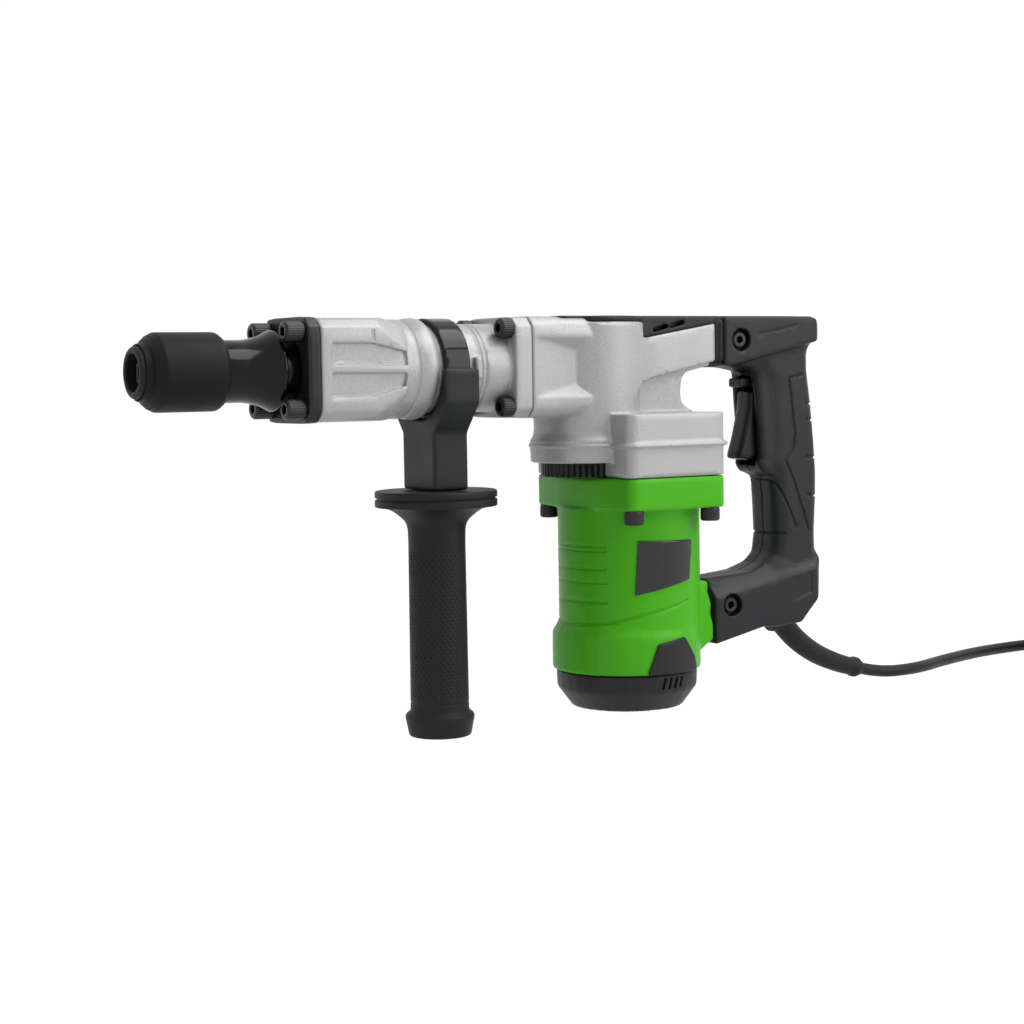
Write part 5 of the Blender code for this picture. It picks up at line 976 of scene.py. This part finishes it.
def dress_nodes():
    chosen = {"bright_steel": BRIGHT, "black_steel": OXIDE, "stacked_iron": IRON, "wound_copper": COPPER,
              "brass": BRASS, "carbon": CARBON, "black_plastic": PLASTIC, "black_rubber": RUBBER,
              "silver_casting": SILVER, "green_casing": GREEN}
    for name in frame["nodes"]:
        node = bpy.data.objects[name]
        for slot in node.material_slots:
            word = slot.material.name.split(".")[0] if slot.material else ""
            slot.material = chosen.get(word, BRIGHT)


# Light, floor and camera, in metres

def lamp(name, spot, aim, size, power):
    data = bpy.data.lights.new(name, "AREA")
    data.shape = "RECTANGLE"
    data.size, data.size_y = size
    data.energy = power
    piece = bpy.data.objects.new(name, data)
    bpy.context.scene.collection.objects.link(piece)
    piece.location = spot
    piece.rotation_euler = (Vector(aim) - Vector(spot)).to_track_quat("-Z", "Y").to_euler()


def studio():
    """Soft white light all round and three lamps; what looks straight at the world sees white."""
    scene = bpy.context.scene
    scene.view_settings.view_transform = "Standard"
    world = bpy.data.worlds.new("studio")
    scene.world = world
    world.use_nodes = True
    nodes, links = world.node_tree.nodes, world.node_tree.links
    back = nodes["Background"]
    path = nodes.new("ShaderNodeLightPath")
    seen = nodes.new("ShaderNodeMath")
    seen.operation = "MAXIMUM"
    links.new(path.outputs["Is Camera Ray"], seen.inputs[0])
    links.new(path.outputs["Is Transmission Ray"], seen.inputs[1])
    shown = nodes.new("ShaderNodeMath")
    shown.operation = "MAXIMUM"
    links.new(seen.outputs[0], shown.inputs[0])
    links.new(path.outputs["Is Glossy Ray"], shown.inputs[1])
    strength = nodes.new("ShaderNodeMapRange")
    strength.inputs["To Min"].default_value = 0.20
    strength.inputs["To Max"].default_value = 1.0
    links.new(shown.outputs[0], strength.inputs["Value"])
    links.new(strength.outputs["Result"], back.inputs["Strength"])
    back.inputs["Color"].default_value = (1, 1, 1, 1)
    middle = (-0.08, 0, 0.15)
    lamp("key_right", (0.62, -0.95, 0.60), middle, (0.7, 0.7), 6.0)
    lamp("top_soft", (0.35, -0.35, 1.2), (0.02, 0, 0.15), (1.0, 0.7), 11)
    lamp("left_strip", (-1.5, -0.4, 0.4), middle, (0.35, 1.1), 1.5)


def pale_floor():
    """A plain floor that keeps the shadow and is nearly white to the eye and in reflections."""
    floor = bpy.data.meshes.new("floor")
    half = 5.0
    corners = [(-half, -half, 0), (half, -half, 0), (half, half, 0), (-half, half, 0)]
    floor.from_pydata(corners, [], [(0, 1, 2, 3)])
    piece = bpy.data.objects.new("floor", floor)
    piece.location.z = FLOOR_Z * MM
    bpy.context.scene.collection.objects.link(piece)
    material = bpy.data.materials.new("pale_floor")
    material.use_nodes = True
    nodes, links = material.node_tree.nodes, material.node_tree.links
    shader = nodes["Principled BSDF"]
    shader.inputs["Base Color"].default_value = (0.9, 0.9, 0.9, 1)
    shader.inputs["Roughness"].default_value = 0.9
    shader.inputs["Specular IOR Level"].default_value = 0.1
    glow = nodes.new("ShaderNodeEmission")
    path = nodes.new("ShaderNodeLightPath")
    share = nodes.new("ShaderNodeMath")
    share.operation = "MULTIPLY"
    share.inputs[1].default_value = 0.88
    seen = nodes.new("ShaderNodeMath")
    seen.operation = "MAXIMUM"
    links.new(path.outputs["Is Camera Ray"], seen.inputs[0])
    links.new(path.outputs["Is Glossy Ray"], seen.inputs[1])
    links.new(seen.outputs[0], share.inputs[0])
    mix = nodes.new("ShaderNodeMixShader")
    links.new(share.outputs[0], mix.inputs[0])
    links.new(shader.outputs[0], mix.inputs[1])
    links.new(glow.outputs[0], mix.inputs[2])
    glow.inputs["Strength"].default_value = 1.12
    links.new(mix.outputs[0], nodes["Material Output"].inputs["Surface"])
    floor.materials.append(material)


def camera():
    """The photograph's own place and turn, the turn in degrees."""
    spot = (-0.71494, -1.03887, 0.20806)
    turn = (86.0992, 0.9202, -31.3158)
    data = bpy.data.cameras.new("camera")
    data.sensor_width = 36
    data.lens = 70.525
    data.clip_start = 0.05
    data.clip_end = 50
    piece = bpy.data.objects.new("camera", data)
    bpy.context.scene.collection.objects.link(piece)
    piece.location = spot
    piece.rotation_euler = [math.radians(angle) for angle in turn]
    bpy.context.scene.camera = piece


camera()
dress_nodes()
cord()
cord_guard()
castings()
handle()
badge_plate()
cap_ear()
cover_disc()
vent_ring()
bell()
nose()
bolts()
side_grip()
handle_screws()
studio()
pale_floor()
